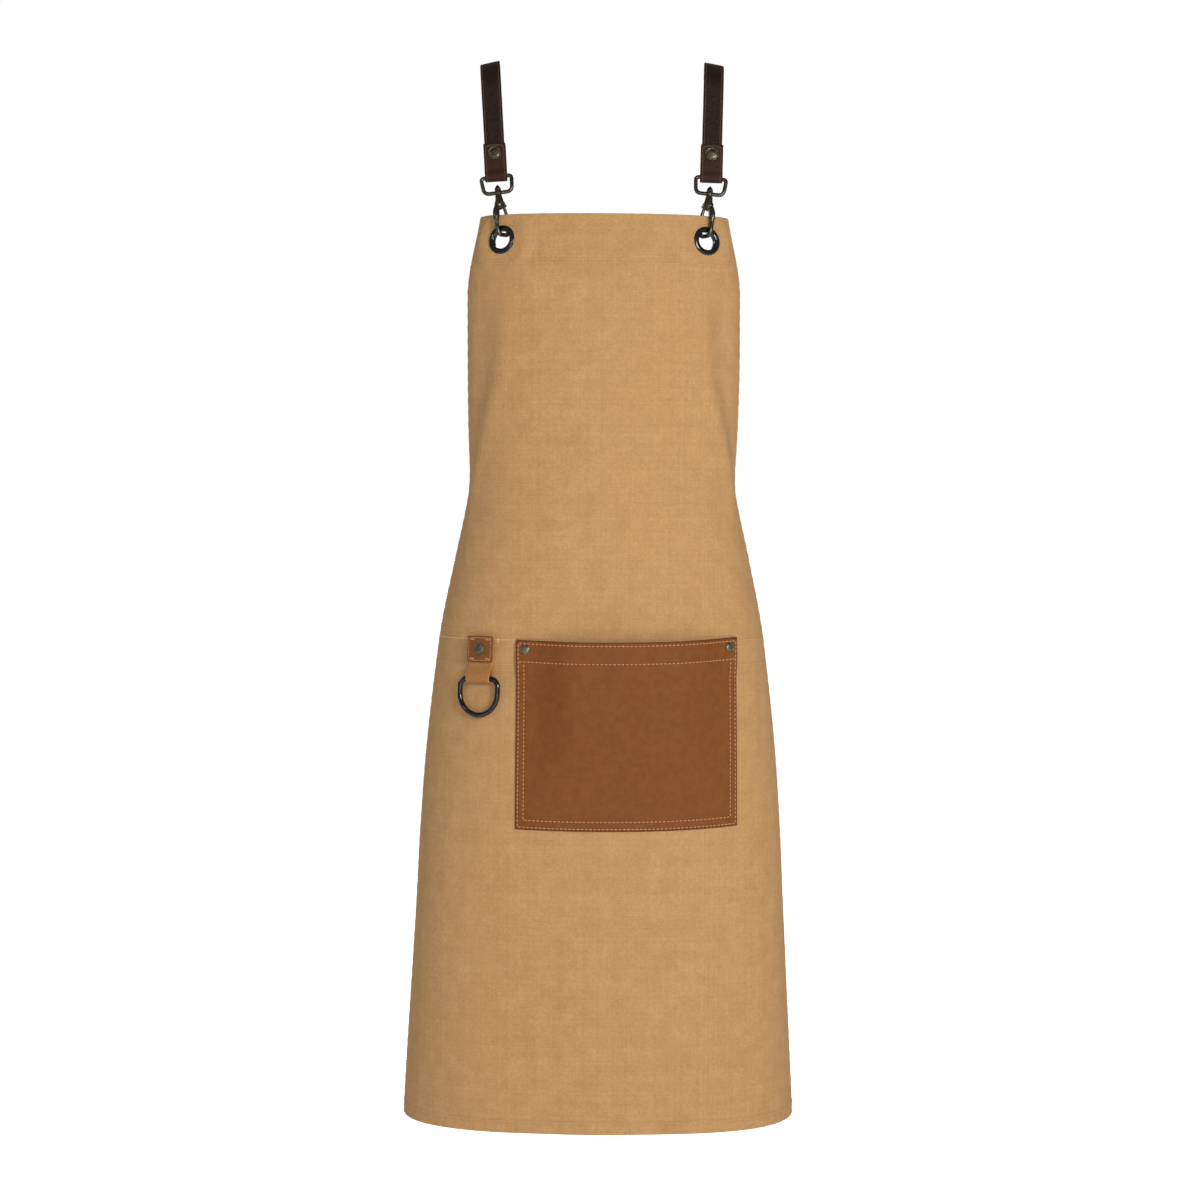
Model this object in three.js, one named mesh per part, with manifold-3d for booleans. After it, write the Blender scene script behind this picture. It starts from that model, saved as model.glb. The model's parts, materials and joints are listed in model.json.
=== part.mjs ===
// A bib apron for a butcher. A canvas panel hangs from two leather shoulder straps by swivel snap
// hooks in its eyelets. It has a leather tool pocket, and a metal ring in a leather tab.
//
// Millimetres, +Z up. The wearer faces -Y, and left and right are as seen from the front.
// The origin is on the panel's centre plane, where the straps lie on the shoulders.

import * as THREE from "three";
import { mergeVertices } from "three/addons/utils/BufferGeometryUtils.js";
import Module from "manifold-3d";

const wasm = await Module();
wasm.setup();

// Gaps
const layerGap = 0.4; // between two layers that lie on each other
const fit = 0.3; // round a post, pin or barrel
const edgeInset = 0.5; // a hem or facing stops this far inside the panel's edge

// Canvas panel. A cross-section is set by halfWidth, from the middle to the side edge; wrap, how far the
// side edge lies behind the front; reach, how far the front lies before the shoulder line; and fullness,
// 2 for an ellipse and more for squarer shoulders.
const shoulderToBib = 147; // down from the origin to the bib's top edge
const panelLength = 860; // bib top edge to bottom hem
const bibTopSection = { halfWidth: 118, wrap: 49, reach: 70, fullness: 2.2 };
const chestSection = { drop: 75, halfWidth: 130, wrap: 62, reach: 79, fullness: 2.25 };
const armholeSection = { drop: 230, halfWidth: 129.5, wrap: 80, reach: 84, fullness: 2.3 };
const waistSection = { drop: 406, halfWidth: 157, wrap: 100, reach: 86, fullness: 2.45 };
const hipSection = { drop: 545, halfWidth: 171.5, wrap: 107, reach: 89, fullness: 2.55 };
const hemSection = { halfWidth: 187.5, wrap: 112, reach: 92, fullness: 2.6 };
const clothThickness = 1.2;
const turnThickness = 1; // the two layers of a turned hem, pressed flat
const hemTurn = 12; // width of the side and bottom hems
const facingDepth = 49; // the strip that doubles the bib's top edge on the inside
const tapeDrop = 398; // bib top edge to the top of the tape behind the waist
const tapeWidth = 26;
const tapeThickness = 1.2;

// Eyelets
const eyeletHoleRadius = 8.5;
const eyeletFlangeRadius = 13.8;
const eyeletWall = 1.3; // barrel wall
const eyeletFlangeHeight = 1.5;
const eyeletWasherThickness = 0.8;
const eyeletDrop = 24; // bib top edge to the eyelet's centre
const eyeletInset = 47; // side edge to the eyelet's centre, along the cloth
const eyeletFlatRadius = 22; // the cloth is pressed flat this far round the centre
const eyeletFlatFade = 14;
const eyeletPatch = 15; // half the width and height of the flat patch

// Leather pocket
const pocketLeft = -79.5; // along the cloth from the middle to the pocket's left edge
const pocketWidth = 211;
const pocketHeight = 176.5;
const pocketDrop = 399; // bib top edge to the pocket's top corners
const pocketBow = 2.6; // the top and bottom edges sag by this in the middle
const pocketLeather = 1.6;
const pocketSeam = 9; // width stitched flat on the cloth at the bottom
const pocketSlack = 11; // how far the mouth stands off the cloth in the middle
const pocketEase = 45; // width over which the leather rises from its seam
const mouthHemWidth = 22;
const mouthHemThickness = 1.2;
const pocketRivetInset = 9; // from the side and from the top edge

// Leather tab and its ring
const tabPlace = -114.5; // along the cloth from the middle
const tabDrop = 408.7; // bib top edge to the middle of the patch
const tabPatch = { width: 27, height: 24.5, thickness: 1.4, corner: 1.5 };
const tabStrapWidth = 25.5;
const tabLeather = 1.6;
const ringDrop = 27.6; // middle of the patch down to the ring's bar
const ringWire = 2.4; // radius
const ringWidth = 45.6;
const ringHeight = 39;
const ringCorner = 8; // at the middle of the wire

// Cap rivets
const rivetPostRadius = 1.5;
const rivetBurrRadius = 4;
const rivetBurrThickness = 1;
const pocketRivetRadius = 4.7;
const tabRivetRadius = 5.3;
const rivetCapHeight = 1.7;

// Shoulder straps
const strapWidth = 19;
const strapThickness = 3.6;
const strapPlace = { left: -108.5, right: 103 }; // across to the middle of a strap on the shoulder
const shoulderRadius = 28; // of the bend over the shoulder, at the strap's inner face
const strapTail = 22; // straight length behind the bend
const strapTailFall = 20; // degrees below level at the cut end
const foldWidth = 21; // the folded strap end
const foldLeather = 1.6;
const foldEase = 0.8; // more room round the loop's bar, so that the strap can lean on it
const foldPinch = 7; // above the bar, where the folded end closes on the strap
const foldTop = 85; // eyelet contact up to the top of the folded end
const studHeight = 75.5; // eyelet contact up to the stud
const studRadius = 6.7;
const studCapHeight = 2;
const studPostRadius = 1.8;
const studBackRadius = 5.2;

// Strap loop and swivel snap hook
const loopWire = 1.9; // radius
const loopTopWidth = 32.3;
const loopBottomWidth = 29;
const loopHeight = 19.4;
const loopCorner = 5; // at the middle of the wire
const loopBase = 37.6; // eyelet contact up to the middle of the loop's lower bar
const loopBoss = { radius: 3.3, height: 4.6 };
const barHeight = loopBase + loopHeight - 2 * loopWire; // eyelet contact up to the middle of the upper bar
const swivelPinRadius = 1.4;
const swivelHead = { radius: 3.1, height: 5 };
const hookLean = { left: 8, right: 6 }; // degrees that a hook and its loop lean outwards
const hookTurn = 45; // degrees from straight ahead, outwards
const hookSet = -1.3; // the hook's middle lies this far behind the eyelet's middle
const hookHalfWidth = 7; // middle of the hook to the middle of either leg
const hookBottom = -3.3; // middle of the wire where it passes through the eyelet
const hookWire = 2; // radius at the eyelet
const hookLegRadius = 2.3; // radius at the shoulder
const hookShoulder = 26.5; // eyelet contact up to the middle of the shoulder
const hookCollarRadius = 3.7;
const gateWire = 1.5; // radius
const gatePivot = { out: -4.2, height: 24.8 };
const gatePinRadius = 0.8;
const gateThickness = 2.2; // of the gate's knuckle along its pin
const gateSpringWidth = 1.1;
const hookCheek = 4.3; // half the hook's thickness at the pin

const roundSides = 16; // sides of lathe-turned pieces
const wireSides = 8;
const panelColumns = 18; // between the eyelet patches
const panelRows = 28; // below the facing

const colours = {
  canvas: { color: 0xc49b68, roughness: 0.9, metalness: 0 },
  canvasTape: { color: 0xb98f5c, roughness: 0.9, metalness: 0 },
  tanLeather: { color: 0x8a5228, roughness: 0.55, metalness: 0 },
  darkLeather: { color: 0x32231c, roughness: 0.5, metalness: 0 },
  redLeather: { color: 0x4b2d23, roughness: 0.5, metalness: 0 },
  gunmetal: { color: 0x4a4641, roughness: 0.35, metalness: 1 },
  blackNickel: { color: 0x24262a, roughness: 0.25, metalness: 1 },
  springSteel: { color: 0x9a9da1, roughness: 0.3, metalness: 1 },
};

const sections = [
  { drop: 0, ...bibTopSection },
  chestSection,
  armholeSection,
  waistSection,
  hipSection,
  { drop: panelLength, ...hemSection },
];

// ---------------------------------------------------------------- solids

// Closed solid through rows of points. Each row is an outline given as two equal lists, front and back,
// that run the same way. A closed run joins its last row to its first, and any other run gets end faces.
// Front and back are split into triangles alike, so that layers on each other keep an even gap.
function loftSolid(rows, closed = false) {
  const count = rows[0].front.length;
  const ring = 2 * count;
  const positions = [];
  for (const row of rows) {
    for (const point of [...row.front, ...[...row.back].reverse()]) {
      positions.push(point.x, point.y, point.z);
    }
  }
  const faces = [];
  const bands = closed ? rows.length : rows.length - 1;
  for (let band = 0; band < bands; band += 1) {
    const here = band * ring;
    const next = ((band + 1) % rows.length) * ring;
    for (let i = 0; i < ring; i += 1) {
      const j = (i + 1) % ring;
      if (i < count) {
        faces.push(here + i, next + i, next + j);
        faces.push(here + i, next + j, here + j);
      } else {
        faces.push(here + i, next + i, here + j);
        faces.push(here + j, next + i, next + j);
      }
    }
  }
  const last = (rows.length - 1) * ring;
  for (let i = 0; i < count - 1 && !closed; i += 1) {
    const far = ring - 1 - i;
    faces.push(i, i + 1, far - 1);
    faces.push(i, far - 1, far);
    faces.push(last + i, last + far - 1, last + i + 1);
    faces.push(last + i, last + far, last + far - 1);
  }
  const geometry = new THREE.BufferGeometry();
  geometry.setAttribute("position", new THREE.Float32BufferAttribute(positions, 3));
  geometry.setIndex(faces);
  return facingOut(geometry);
}

// The geometry with its faces turned outwards.
function facingOut(geometry) {
  const place = geometry.getAttribute("position");
  const index = geometry.getIndex().array;
  const [a, b, c] = [new THREE.Vector3(), new THREE.Vector3(), new THREE.Vector3()];
  let volume = 0;
  for (let i = 0; i < index.length; i += 3) {
    a.fromBufferAttribute(place, index[i]);
    b.fromBufferAttribute(place, index[i + 1]);
    c.fromBufferAttribute(place, index[i + 2]);
    volume += a.dot(b.cross(c));
  }
  if (volume < 0) {
    for (let i = 0; i < index.length; i += 3) {
      [index[i + 1], index[i + 2]] = [index[i + 2], index[i + 1]];
    }
  }
  return geometry;
}

// A geometry as a solid for joining and cutting.
function toSolid(geometry) {
  const bare = new THREE.BufferGeometry();
  bare.setAttribute("position", geometry.getAttribute("position"));
  bare.setIndex(geometry.getIndex());
  const merged = mergeVertices(bare, 1e-3);
  return new wasm.Manifold(
    new wasm.Mesh({
      numProp: 3,
      vertProperties: new Float32Array(merged.getAttribute("position").array),
      triVerts: new Uint32Array(merged.getIndex().array),
    }),
  );
}

function toGeometry(solid) {
  const mesh = solid.getMesh();
  const positions = [];
  for (let i = 0; i < mesh.vertProperties.length; i += mesh.numProp) {
    positions.push(...mesh.vertProperties.slice(i, i + 3));
  }
  const geometry = new THREE.BufferGeometry();
  geometry.setAttribute("position", new THREE.Float32BufferAttribute(positions, 3));
  geometry.setIndex([...mesh.triVerts]);
  return geometry;
}

function joined(...geometries) {
  return toGeometry(geometries.map(toSolid).reduce((all, piece) => all.add(piece)));
}

function cut(geometry, ...tools) {
  return toGeometry(tools.map(toSolid).reduce((left, tool) => left.subtract(tool), toSolid(geometry)));
}

// Turned piece about the Z axis, from [radius, height] points.
function turned(profile, sides = roundSides) {
  const points = profile.map(([radius, height]) => new THREE.Vector2(radius, height));
  const geometry = new THREE.LatheGeometry(points, sides).rotateX(Math.PI / 2);
  geometry.deleteAttribute("normal");
  geometry.deleteAttribute("uv");
  return facingOut(withoutSlivers(mergeVertices(geometry, 1e-4)));
}

// The geometry without the triangles that closed up when its vertices were merged.
function withoutSlivers(geometry) {
  const index = geometry.getIndex().array;
  const kept = [];
  for (let i = 0; i < index.length; i += 3) {
    const [a, b, c] = [index[i], index[i + 1], index[i + 2]];
    if (a !== b && b !== c && c !== a) kept.push(a, b, c);
  }
  geometry.setIndex(kept);
  return geometry;
}

function rod(radius, from, to, sides = roundSides) {
  return turned([[0, from], [radius, from], [radius, to], [0, to]], sides);
}

function block(width, depth, height) {
  const geometry = new THREE.BoxGeometry(width, depth, height);
  geometry.deleteAttribute("normal");
  geometry.deleteAttribute("uv");
  return mergeVertices(geometry);
}

// Flat outline of [across, up] points pushed along the third axis, centred on it.
function slab(outline, thickness) {
  const geometry = new THREE.ExtrudeGeometry(outline, {
    depth: thickness,
    bevelEnabled: false,
    curveSegments: 8,
  });
  geometry.translate(0, 0, -thickness / 2);
  geometry.deleteAttribute("normal");
  geometry.deleteAttribute("uv");
  return mergeVertices(geometry, 1e-4);
}

// Round wire along a flat path in the XZ plane. radiusAt takes the share of the path, from 0 to 1.
function wire(path, radiusAt, closed = false) {
  const flat = new THREE.Vector3(0, 1, 0);
  const rows = path.map((point, i) => {
    const before = path[closed ? (i + path.length - 1) % path.length : Math.max(i - 1, 0)];
    const after = path[closed ? (i + 1) % path.length : Math.min(i + 1, path.length - 1)];
    const along = new THREE.Vector3(after.x - before.x, 0, after.y - before.y).normalize();
    const side = new THREE.Vector3().crossVectors(flat, along);
    const centre = new THREE.Vector3(point.x, 0, point.y);
    const radius = radiusAt(i / (path.length - 1));
    const around = (turn) =>
      centre
        .clone()
        .addScaledVector(side, radius * Math.cos(turn))
        .addScaledVector(flat, radius * Math.sin(turn));
    const half = wireSides / 2;
    const turns = Array.from({ length: half }, (_, k) => ((k + 0.5) * Math.PI) / half);
    return { front: turns.map((turn) => around(turn)), back: turns.map((turn) => around(-turn)) };
  });
  return loftSolid(rows, closed);
}

// ---------------------------------------------------------------- the panel's surface

const ease = (share) => {
  const t = THREE.MathUtils.clamp(share, 0, 1);
  return t * t * (3 - 2 * t);
};

// One field of the cross-section at a drop below the bib's top edge, on a curve that never overshoots.
function sectionValue(field, drop) {
  const last = sections.length - 1;
  const place = THREE.MathUtils.clamp(drop, 0, panelLength);
  const slope = (i) =>
    (sections[i + 1][field] - sections[i][field]) / (sections[i + 1].drop - sections[i].drop);
  const tangent = (i) => {
    if (i === 0) return slope(0);
    if (i === last) return slope(last - 1);
    const [before, after] = [slope(i - 1), slope(i)];
    return before * after <= 0 ? 0 : (2 * before * after) / (before + after);
  };
  let i = 0;
  while (i < last - 1 && place > sections[i + 1].drop) i += 1;
  const length = sections[i + 1].drop - sections[i].drop;
  const t = (place - sections[i].drop) / length;
  return (
    sections[i][field] * (2 * t ** 3 - 3 * t ** 2 + 1) +
    tangent(i) * length * (t ** 3 - 2 * t ** 2 + t) +
    sections[i + 1][field] * (3 * t ** 2 - 2 * t ** 3) +
    tangent(i + 1) * length * (t ** 3 - t ** 2)
  );
}

// Half of the cross-section as points from the middle to the side edge, with the length along it.
const sectionSteps = 120;
const sectionTables = new Map();
function sectionTable(drop) {
  if (sectionTables.has(drop)) return sectionTables.get(drop);
  const [halfWidth, wrap, reach, fullness] = ["halfWidth", "wrap", "reach", "fullness"].map((field) =>
    sectionValue(field, drop),
  );
  const table = [{ x: 0, y: -reach, length: 0 }];
  for (let i = 1; i <= sectionSteps; i += 1) {
    const turn = (i / sectionSteps) * (Math.PI / 2);
    const x = halfWidth * Math.sin(turn) ** (2 / fullness);
    const y = wrap * (1 - Math.max(Math.cos(turn), 0) ** (2 / fullness)) - reach;
    const before = table[i - 1];
    table.push({ x, y, length: before.length + Math.hypot(x - before.x, y - before.y) });
  }
  sectionTables.set(drop, table);
  return table;
}

// Length along the cloth from the middle to the side edge.
const sideEdge = (drop) => sectionTable(drop)[sectionSteps].length;

// The curved face at a place along the cloth, before the eyelets press it flat.
function curvedPoint(place, drop) {
  const table = sectionTable(drop);
  const along = Math.abs(place);
  let i = 1;
  while (i < sectionSteps && table[i].length < along) i += 1;
  const share = (along - table[i - 1].length) / (table[i].length - table[i - 1].length);
  const x = THREE.MathUtils.lerp(table[i - 1].x, table[i].x, share);
  const y = THREE.MathUtils.lerp(table[i - 1].y, table[i].y, share);
  return new THREE.Vector3(Math.sign(place) * x, y, -shoulderToBib - drop);
}

// Axes at a place on a face: across to the right, up, and out of the cloth.
function axesOn(face, place, drop) {
  const step = 2;
  const origin = face(place, drop);
  const across = face(place + step, drop).sub(face(place - step, drop)).normalize();
  const up = face(place, drop - step).sub(face(place, drop + step));
  const out = new THREE.Vector3().crossVectors(across, up).normalize();
  up.crossVectors(out, across).normalize();
  return { origin, across, up, out };
}

const eyeletPlace = sideEdge(eyeletDrop) - eyeletInset;
const flatSpots = [-1, 1].map((side) => axesOn(curvedPoint, side * eyeletPlace, eyeletDrop));

// The panel's outer face.
function facePoint(place, drop) {
  const point = curvedPoint(place, drop);
  for (const spot of flatSpots) {
    const away = point.clone().sub(spot.origin);
    const hold = 1 - ease((away.length() - eyeletFlatRadius) / eyeletFlatFade);
    point.addScaledVector(spot.out, -hold * away.dot(spot.out));
  }
  return point;
}

const axesAt = (place, drop) => axesOn(facePoint, place, drop);

// A point that stands out from the panel's face, or with a minus sign behind it.
function offPanel(place, drop, out) {
  const axes = axesAt(place, drop);
  return axes.origin.addScaledVector(axes.out, out);
}

// Layer of material over the panel. placesAt gives the places along each drop, and outer and inner give
// the height of its two faces off the panel.
function layer(drops, placesAt, outer, inner) {
  const rows = drops.map((drop) => {
    const places = placesAt(drop);
    return {
      front: places.map((place) => offPanel(place, drop, outer(place, drop))),
      back: places.map((place) => offPanel(place, drop, inner(place, drop))),
    };
  });
  return loftSolid(rows);
}

const steps = (from, to, count) =>
  Array.from({ length: count + 1 }, (_, i) => from + ((to - from) * i) / count);

// Group whose X, Y and Z are across, up and out at a place on the panel.
function groupAt(place, drop, out = 0) {
  const axes = axesAt(place, drop);
  const group = new THREE.Group();
  group.matrixAutoUpdate = false;
  group.matrix.makeBasis(axes.across, axes.up, axes.out);
  group.matrix.setPosition(axes.origin.addScaledVector(axes.out, out));
  return group;
}

// Drill through every layer at a place on the panel.
function drill(place, drop, radius) {
  const reach = 15;
  return rod(radius, -reach, reach).applyMatrix4(groupAt(place, drop).matrix);
}

// ---------------------------------------------------------------- assembly

const apron = new THREE.Group();

function add(parent, name, geometry, finish) {
  const mesh = new THREE.Mesh(geometry, new THREE.MeshStandardMaterial(colours[finish]));
  mesh.name = name;
  parent.add(mesh);
  return mesh;
}

const pocketMiddle = pocketLeft + pocketWidth / 2;
const bowAt = (place) => pocketBow * (1 - ((place - pocketMiddle) / (pocketWidth / 2)) ** 2);
const pocketRivets = [
  { side: "left", place: pocketLeft + pocketRivetInset },
  { side: "right", place: pocketLeft + pocketWidth - pocketRivetInset },
].map((rivet) => ({ ...rivet, drop: pocketDrop + bowAt(rivet.place) + pocketRivetInset }));

const rivetHoles = [...pocketRivets, { place: tabPlace, drop: tabDrop }].map((rivet) =>
  drill(rivet.place, rivet.drop, rivetPostRadius + fit),
);
const eyeletHoles = [-1, 1].map((side) =>
  drill(side * eyeletPlace, eyeletDrop, eyeletHoleRadius + eyeletWall + fit),
);

// Places across the panel at a drop: the hems' inner edges, both edges of the eyelet patches or what
// continues them down the skirt, and even steps between those.
const patchShares = [-1, 1].map((side) => (eyeletPlace + side * eyeletPatch) / sideEdge(eyeletDrop));
const skirtShares = [0.83, 0.9];
function betweenHems(drop, inset = edgeInset) {
  const edge = sideEdge(drop);
  const outer = edge - hemTurn - inset;
  const toSkirt = ease(drop / 2 / eyeletDrop - 1);
  const [inner, middle] = [0, 1].map(
    (i) => edge * THREE.MathUtils.lerp(patchShares[i], skirtShares[i], toSkirt),
  );
  return [-outer, -middle, ...steps(-inner, inner, panelColumns), middle, outer];
}
function acrossPanel(drop, inset) {
  const edge = sideEdge(drop) - inset;
  return [-edge, ...betweenHems(drop, 0), edge];
}

const backFace = -clothThickness - layerGap; // where a layer behind the cloth starts

const facingDrops = [0, eyeletDrop - eyeletPatch, eyeletDrop + eyeletPatch, facingDepth];
const panelDrops = [...facingDrops, ...steps(facingDepth, panelLength, panelRows).slice(1)];

function addPanel() {
  const drops = panelDrops;
  const sheet = layer(drops, (drop) => acrossPanel(drop, 0), () => 0, () => -clothThickness);
  add(apron, "apron_panel", cut(sheet, ...rivetHoles, ...eyeletHoles), "canvas");
}

function addHems() {
  const outer = () => backFace;
  const inner = () => backFace - turnThickness;
  const facing = layer(
    [edgeInset, ...facingDrops.slice(1)],
    (drop) => acrossPanel(drop, edgeInset),
    outer,
    inner,
  );
  add(apron, "bib_facing", cut(facing, ...eyeletHoles), "canvas");
  const sideDrops = [
    facingDepth + layerGap,
    ...panelDrops.filter((drop) => drop > facingDepth + layerGap && drop < panelLength),
    panelLength - edgeInset,
  ];
  for (const side of [-1, 1]) {
    const places = (drop) => [
      side * (sideEdge(drop) - hemTurn + edgeInset / 2),
      side * (sideEdge(drop) - edgeInset),
    ];
    add(apron, `side_hem_${side < 0 ? "left" : "right"}`, layer(sideDrops, places, outer, inner), "canvas");
  }
  const bottomDrops = [panelLength - hemTurn, panelLength - edgeInset];
  add(apron, "bottom_hem", layer(bottomDrops, (drop) => betweenHems(drop), outer, inner), "canvas");
  const tape = layer(
    steps(tapeDrop, tapeDrop + tapeWidth, 1),
    (drop) => betweenHems(drop),
    outer,
    () => backFace - tapeThickness,
  );
  add(apron, "waist_tape", cut(tape, ...rivetHoles), "canvasTape");
}

// Rivet with its cap outside and its burr behind the tape. seat is the height of the leather's face.
function addRivet(name, place, drop, seat, capRadius) {
  const group = groupAt(place, drop);
  const burrFace = backFace - tapeThickness - 2 * layerGap;
  const burrBack = burrFace - rivetBurrThickness;
  const base = seat + 1.2 * layerGap;
  const cap = turned([
    [0, burrBack],
    [rivetPostRadius, burrBack],
    [rivetPostRadius, base],
    [capRadius, base],
    [capRadius, base + 0.3 * rivetCapHeight],
    [0.88 * capRadius, base + 0.75 * rivetCapHeight],
    [0.5 * capRadius, base + rivetCapHeight],
    [0, base + rivetCapHeight],
  ]);
  const burr = turned([
    [rivetPostRadius + fit, burrBack],
    [rivetBurrRadius, burrBack],
    [rivetBurrRadius, burrFace],
    [rivetPostRadius + fit, burrFace],
    [rivetPostRadius + fit, burrBack],
  ]);
  add(group, `${name}_rivet`, cap, "gunmetal");
  add(group, `${name}_burr`, burr, "gunmetal");
  apron.add(group);
}

// Width at the pocket's sides that lies flat on the cloth, as far as the rivets' caps reach.
const pocketFlat = pocketRivetInset + pocketRivetRadius + fit;

// Height of the pocket's inner face off the cloth.
function pocketRise(place, drop) {
  const down = drop - pocketDrop - bowAt(place);
  const fromSide = Math.min(place - pocketLeft, pocketLeft + pocketWidth - place) - pocketFlat;
  const fromBottom = pocketHeight - down - pocketSeam;
  const stand = mouthHemThickness + layerGap;
  const overHem = stand * ease((mouthHemWidth + 2 * pocketSeam - down) / (2 * pocketSeam));
  return layerGap + overHem + pocketSlack * ease(fromSide / pocketEase) * ease(fromBottom / pocketEase / 2);
}

// Layer over the pocket's width between two distances below its bowed top edge.
function pocketLayer(from, to, rows, inset, outer, inner) {
  const places = [
    pocketLeft + inset,
    ...steps(pocketLeft + pocketFlat, pocketLeft + pocketWidth - pocketFlat, 12),
    pocketLeft + pocketWidth - inset,
  ];
  const lines = steps(from, to, rows).map((down) => ({
    front: places.map((place) => pocketPoint(place, down, outer)),
    back: places.map((place) => pocketPoint(place, down, inner)),
  }));
  return loftSolid(lines);
}

function pocketPoint(place, down, height) {
  const drop = pocketDrop + bowAt(place) + down;
  return offPanel(place, drop, height(place, drop));
}

function addPocket() {
  const leather = pocketLayer(
    0,
    pocketHeight,
    9,
    0,
    (place, drop) => pocketRise(place, drop) + pocketLeather,
    pocketRise,
  );
  const hemFace = (place, drop) => pocketRise(place, drop) - layerGap;
  const mouthHem = pocketLayer(
    edgeInset,
    mouthHemWidth,
    2,
    edgeInset,
    hemFace,
    (place, drop) => hemFace(place, drop) - mouthHemThickness,
  );
  add(apron, "pocket_panel", cut(leather, ...rivetHoles), "tanLeather");
  add(apron, "pocket_mouth_hem", cut(mouthHem, ...rivetHoles), "tanLeather");
  for (const rivet of pocketRivets) {
    const seat = pocketRise(rivet.place, rivet.drop) + pocketLeather;
    addRivet(`pocket_${rivet.side}`, rivet.place, rivet.drop, seat, pocketRivetRadius);
  }
}

// Strap end folded round a bar, as an outline of [out, up] points. The bar is at the origin. Above
// pinchHeight the inner faces of the two layers lie at back and front.
function foldOutline(barRadius, leather, top, back, front, pinchHeight) {
  const inner = barRadius + fit;
  const outer = inner + leather;
  const bend = 0.5 * pinchHeight;
  const pinchedBack = back > -inner; // a back layer that lies on the cloth runs straight
  const outline = new THREE.Shape();
  outline.moveTo(back - leather, top);
  if (pinchedBack) {
    outline.lineTo(back - leather, pinchHeight);
    outline.bezierCurveTo(back - leather, bend, -outer, bend, -outer, 0);
  } else {
    outline.lineTo(-outer, 0);
  }
  outline.absarc(0, 0, outer, Math.PI, 2 * Math.PI, false);
  outline.bezierCurveTo(outer, bend, front + leather, bend, front + leather, pinchHeight);
  outline.lineTo(front + leather, top);
  outline.lineTo(front, top);
  outline.lineTo(front, pinchHeight);
  outline.bezierCurveTo(front, bend, inner, bend, inner, 0);
  outline.absarc(0, 0, inner, 0, -Math.PI, true);
  if (pinchedBack) outline.bezierCurveTo(-inner, bend, back, bend, back, pinchHeight);
  outline.lineTo(back, top);
  return outline;
}

function roundedRectangle(width, height, corner) {
  const [x, y] = [width / 2 - corner, height / 2 - corner];
  const outline = new THREE.Shape();
  outline.absarc(x, y, corner, 0, Math.PI / 2, false);
  outline.absarc(-x, y, corner, Math.PI / 2, Math.PI, false);
  outline.absarc(-x, -y, corner, Math.PI, 1.5 * Math.PI, false);
  outline.absarc(x, -y, corner, 1.5 * Math.PI, 2 * Math.PI, false);
  return outline;
}

function addTab() {
  const group = groupAt(tabPlace, tabDrop);
  const barOut = layerGap + tabLeather + fit + ringWire;
  const topLayer = layerGap + 2 * tabLeather + fit; // outer face of the folded strap under the patch
  const holeAtPatch = rod(rivetPostRadius + fit, -15, 15);

  const tabTop = ringDrop + tabPatch.height / 2 - 1;
  const outline = foldOutline(ringWire, tabLeather, tabTop, -ringWire - fit, -ringWire, 0.55 * ringDrop);
  const strap = slab(outline, tabStrapWidth);
  // the outline's out, up and width become the group's Z, Y and X
  strap.applyMatrix4(new THREE.Matrix4().makeBasis(
    new THREE.Vector3(0, 0, 1),
    new THREE.Vector3(0, 1, 0),
    new THREE.Vector3(-1, 0, 0),
  ));
  strap.translate(0, -ringDrop, barOut);
  add(group, "tab_strap", cut(strap, holeAtPatch), "tanLeather");

  const patch = slab(roundedRectangle(tabPatch.width, tabPatch.height, tabPatch.corner), tabPatch.thickness);
  patch.translate(0, 0, topLayer + layerGap + tabPatch.thickness / 2);
  add(group, "tab_patch", cut(patch, holeAtPatch), "tanLeather");

  const ring = wire(ringPath(), () => ringWire, true);
  ring.rotateX(Math.PI / 2);
  ring.translate(0, -ringDrop, barOut);
  add(group, "d_ring", ring, "blackNickel");
  apron.add(group);

  const seat = topLayer + layerGap + tabPatch.thickness;
  addRivet("tab", tabPlace, tabDrop, seat, tabRivetRadius);
}

// Middle of the D ring's wire: the bar along the top, rounded corners and a half round below.
function ringPath() {
  const halfWidth = ringWidth / 2 - ringWire;
  const low = ringHeight - 2 * ringWire - halfWidth; // where the half round starts
  const bar = halfWidth - ringCorner;
  const path = new THREE.Path();
  path.moveTo(0, 0);
  path.lineTo(bar, 0);
  path.absarc(bar, ringCorner, ringCorner, -Math.PI / 2, 0, false);
  path.absarc(0, low, halfWidth, 0, Math.PI, false);
  path.absarc(-bar, ringCorner, ringCorner, Math.PI, 1.5 * Math.PI, false);
  return path.getPoints(4);
}

// Middle of the strap loop's wire, its lower bar at height 0.
function loopPath() {
  const [low, high] = [loopBottomWidth / 2 - loopWire, loopTopWidth / 2 - loopWire];
  const top = loopHeight - 2 * loopWire;
  const path = new THREE.Path();
  path.moveTo(0, 0);
  path.lineTo(low - loopCorner, 0);
  path.bezierCurveTo(low - 1, 0, low, 1, low + 0.3, loopCorner);
  path.lineTo(high, top - 0.7 * loopCorner);
  path.bezierCurveTo(high + 0.2, top - 1, high - 1, top, high - 0.7 * loopCorner, top);
  path.lineTo(0.7 * loopCorner - high, top);
  path.bezierCurveTo(1 - high, top, -high - 0.2, top - 1, -high, top - 0.7 * loopCorner);
  path.lineTo(-low - 0.3, loopCorner);
  path.bezierCurveTo(-low, 1, 1 - low, 0, loopCorner - low, 0);
  return path.getPoints(5);
}

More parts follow.
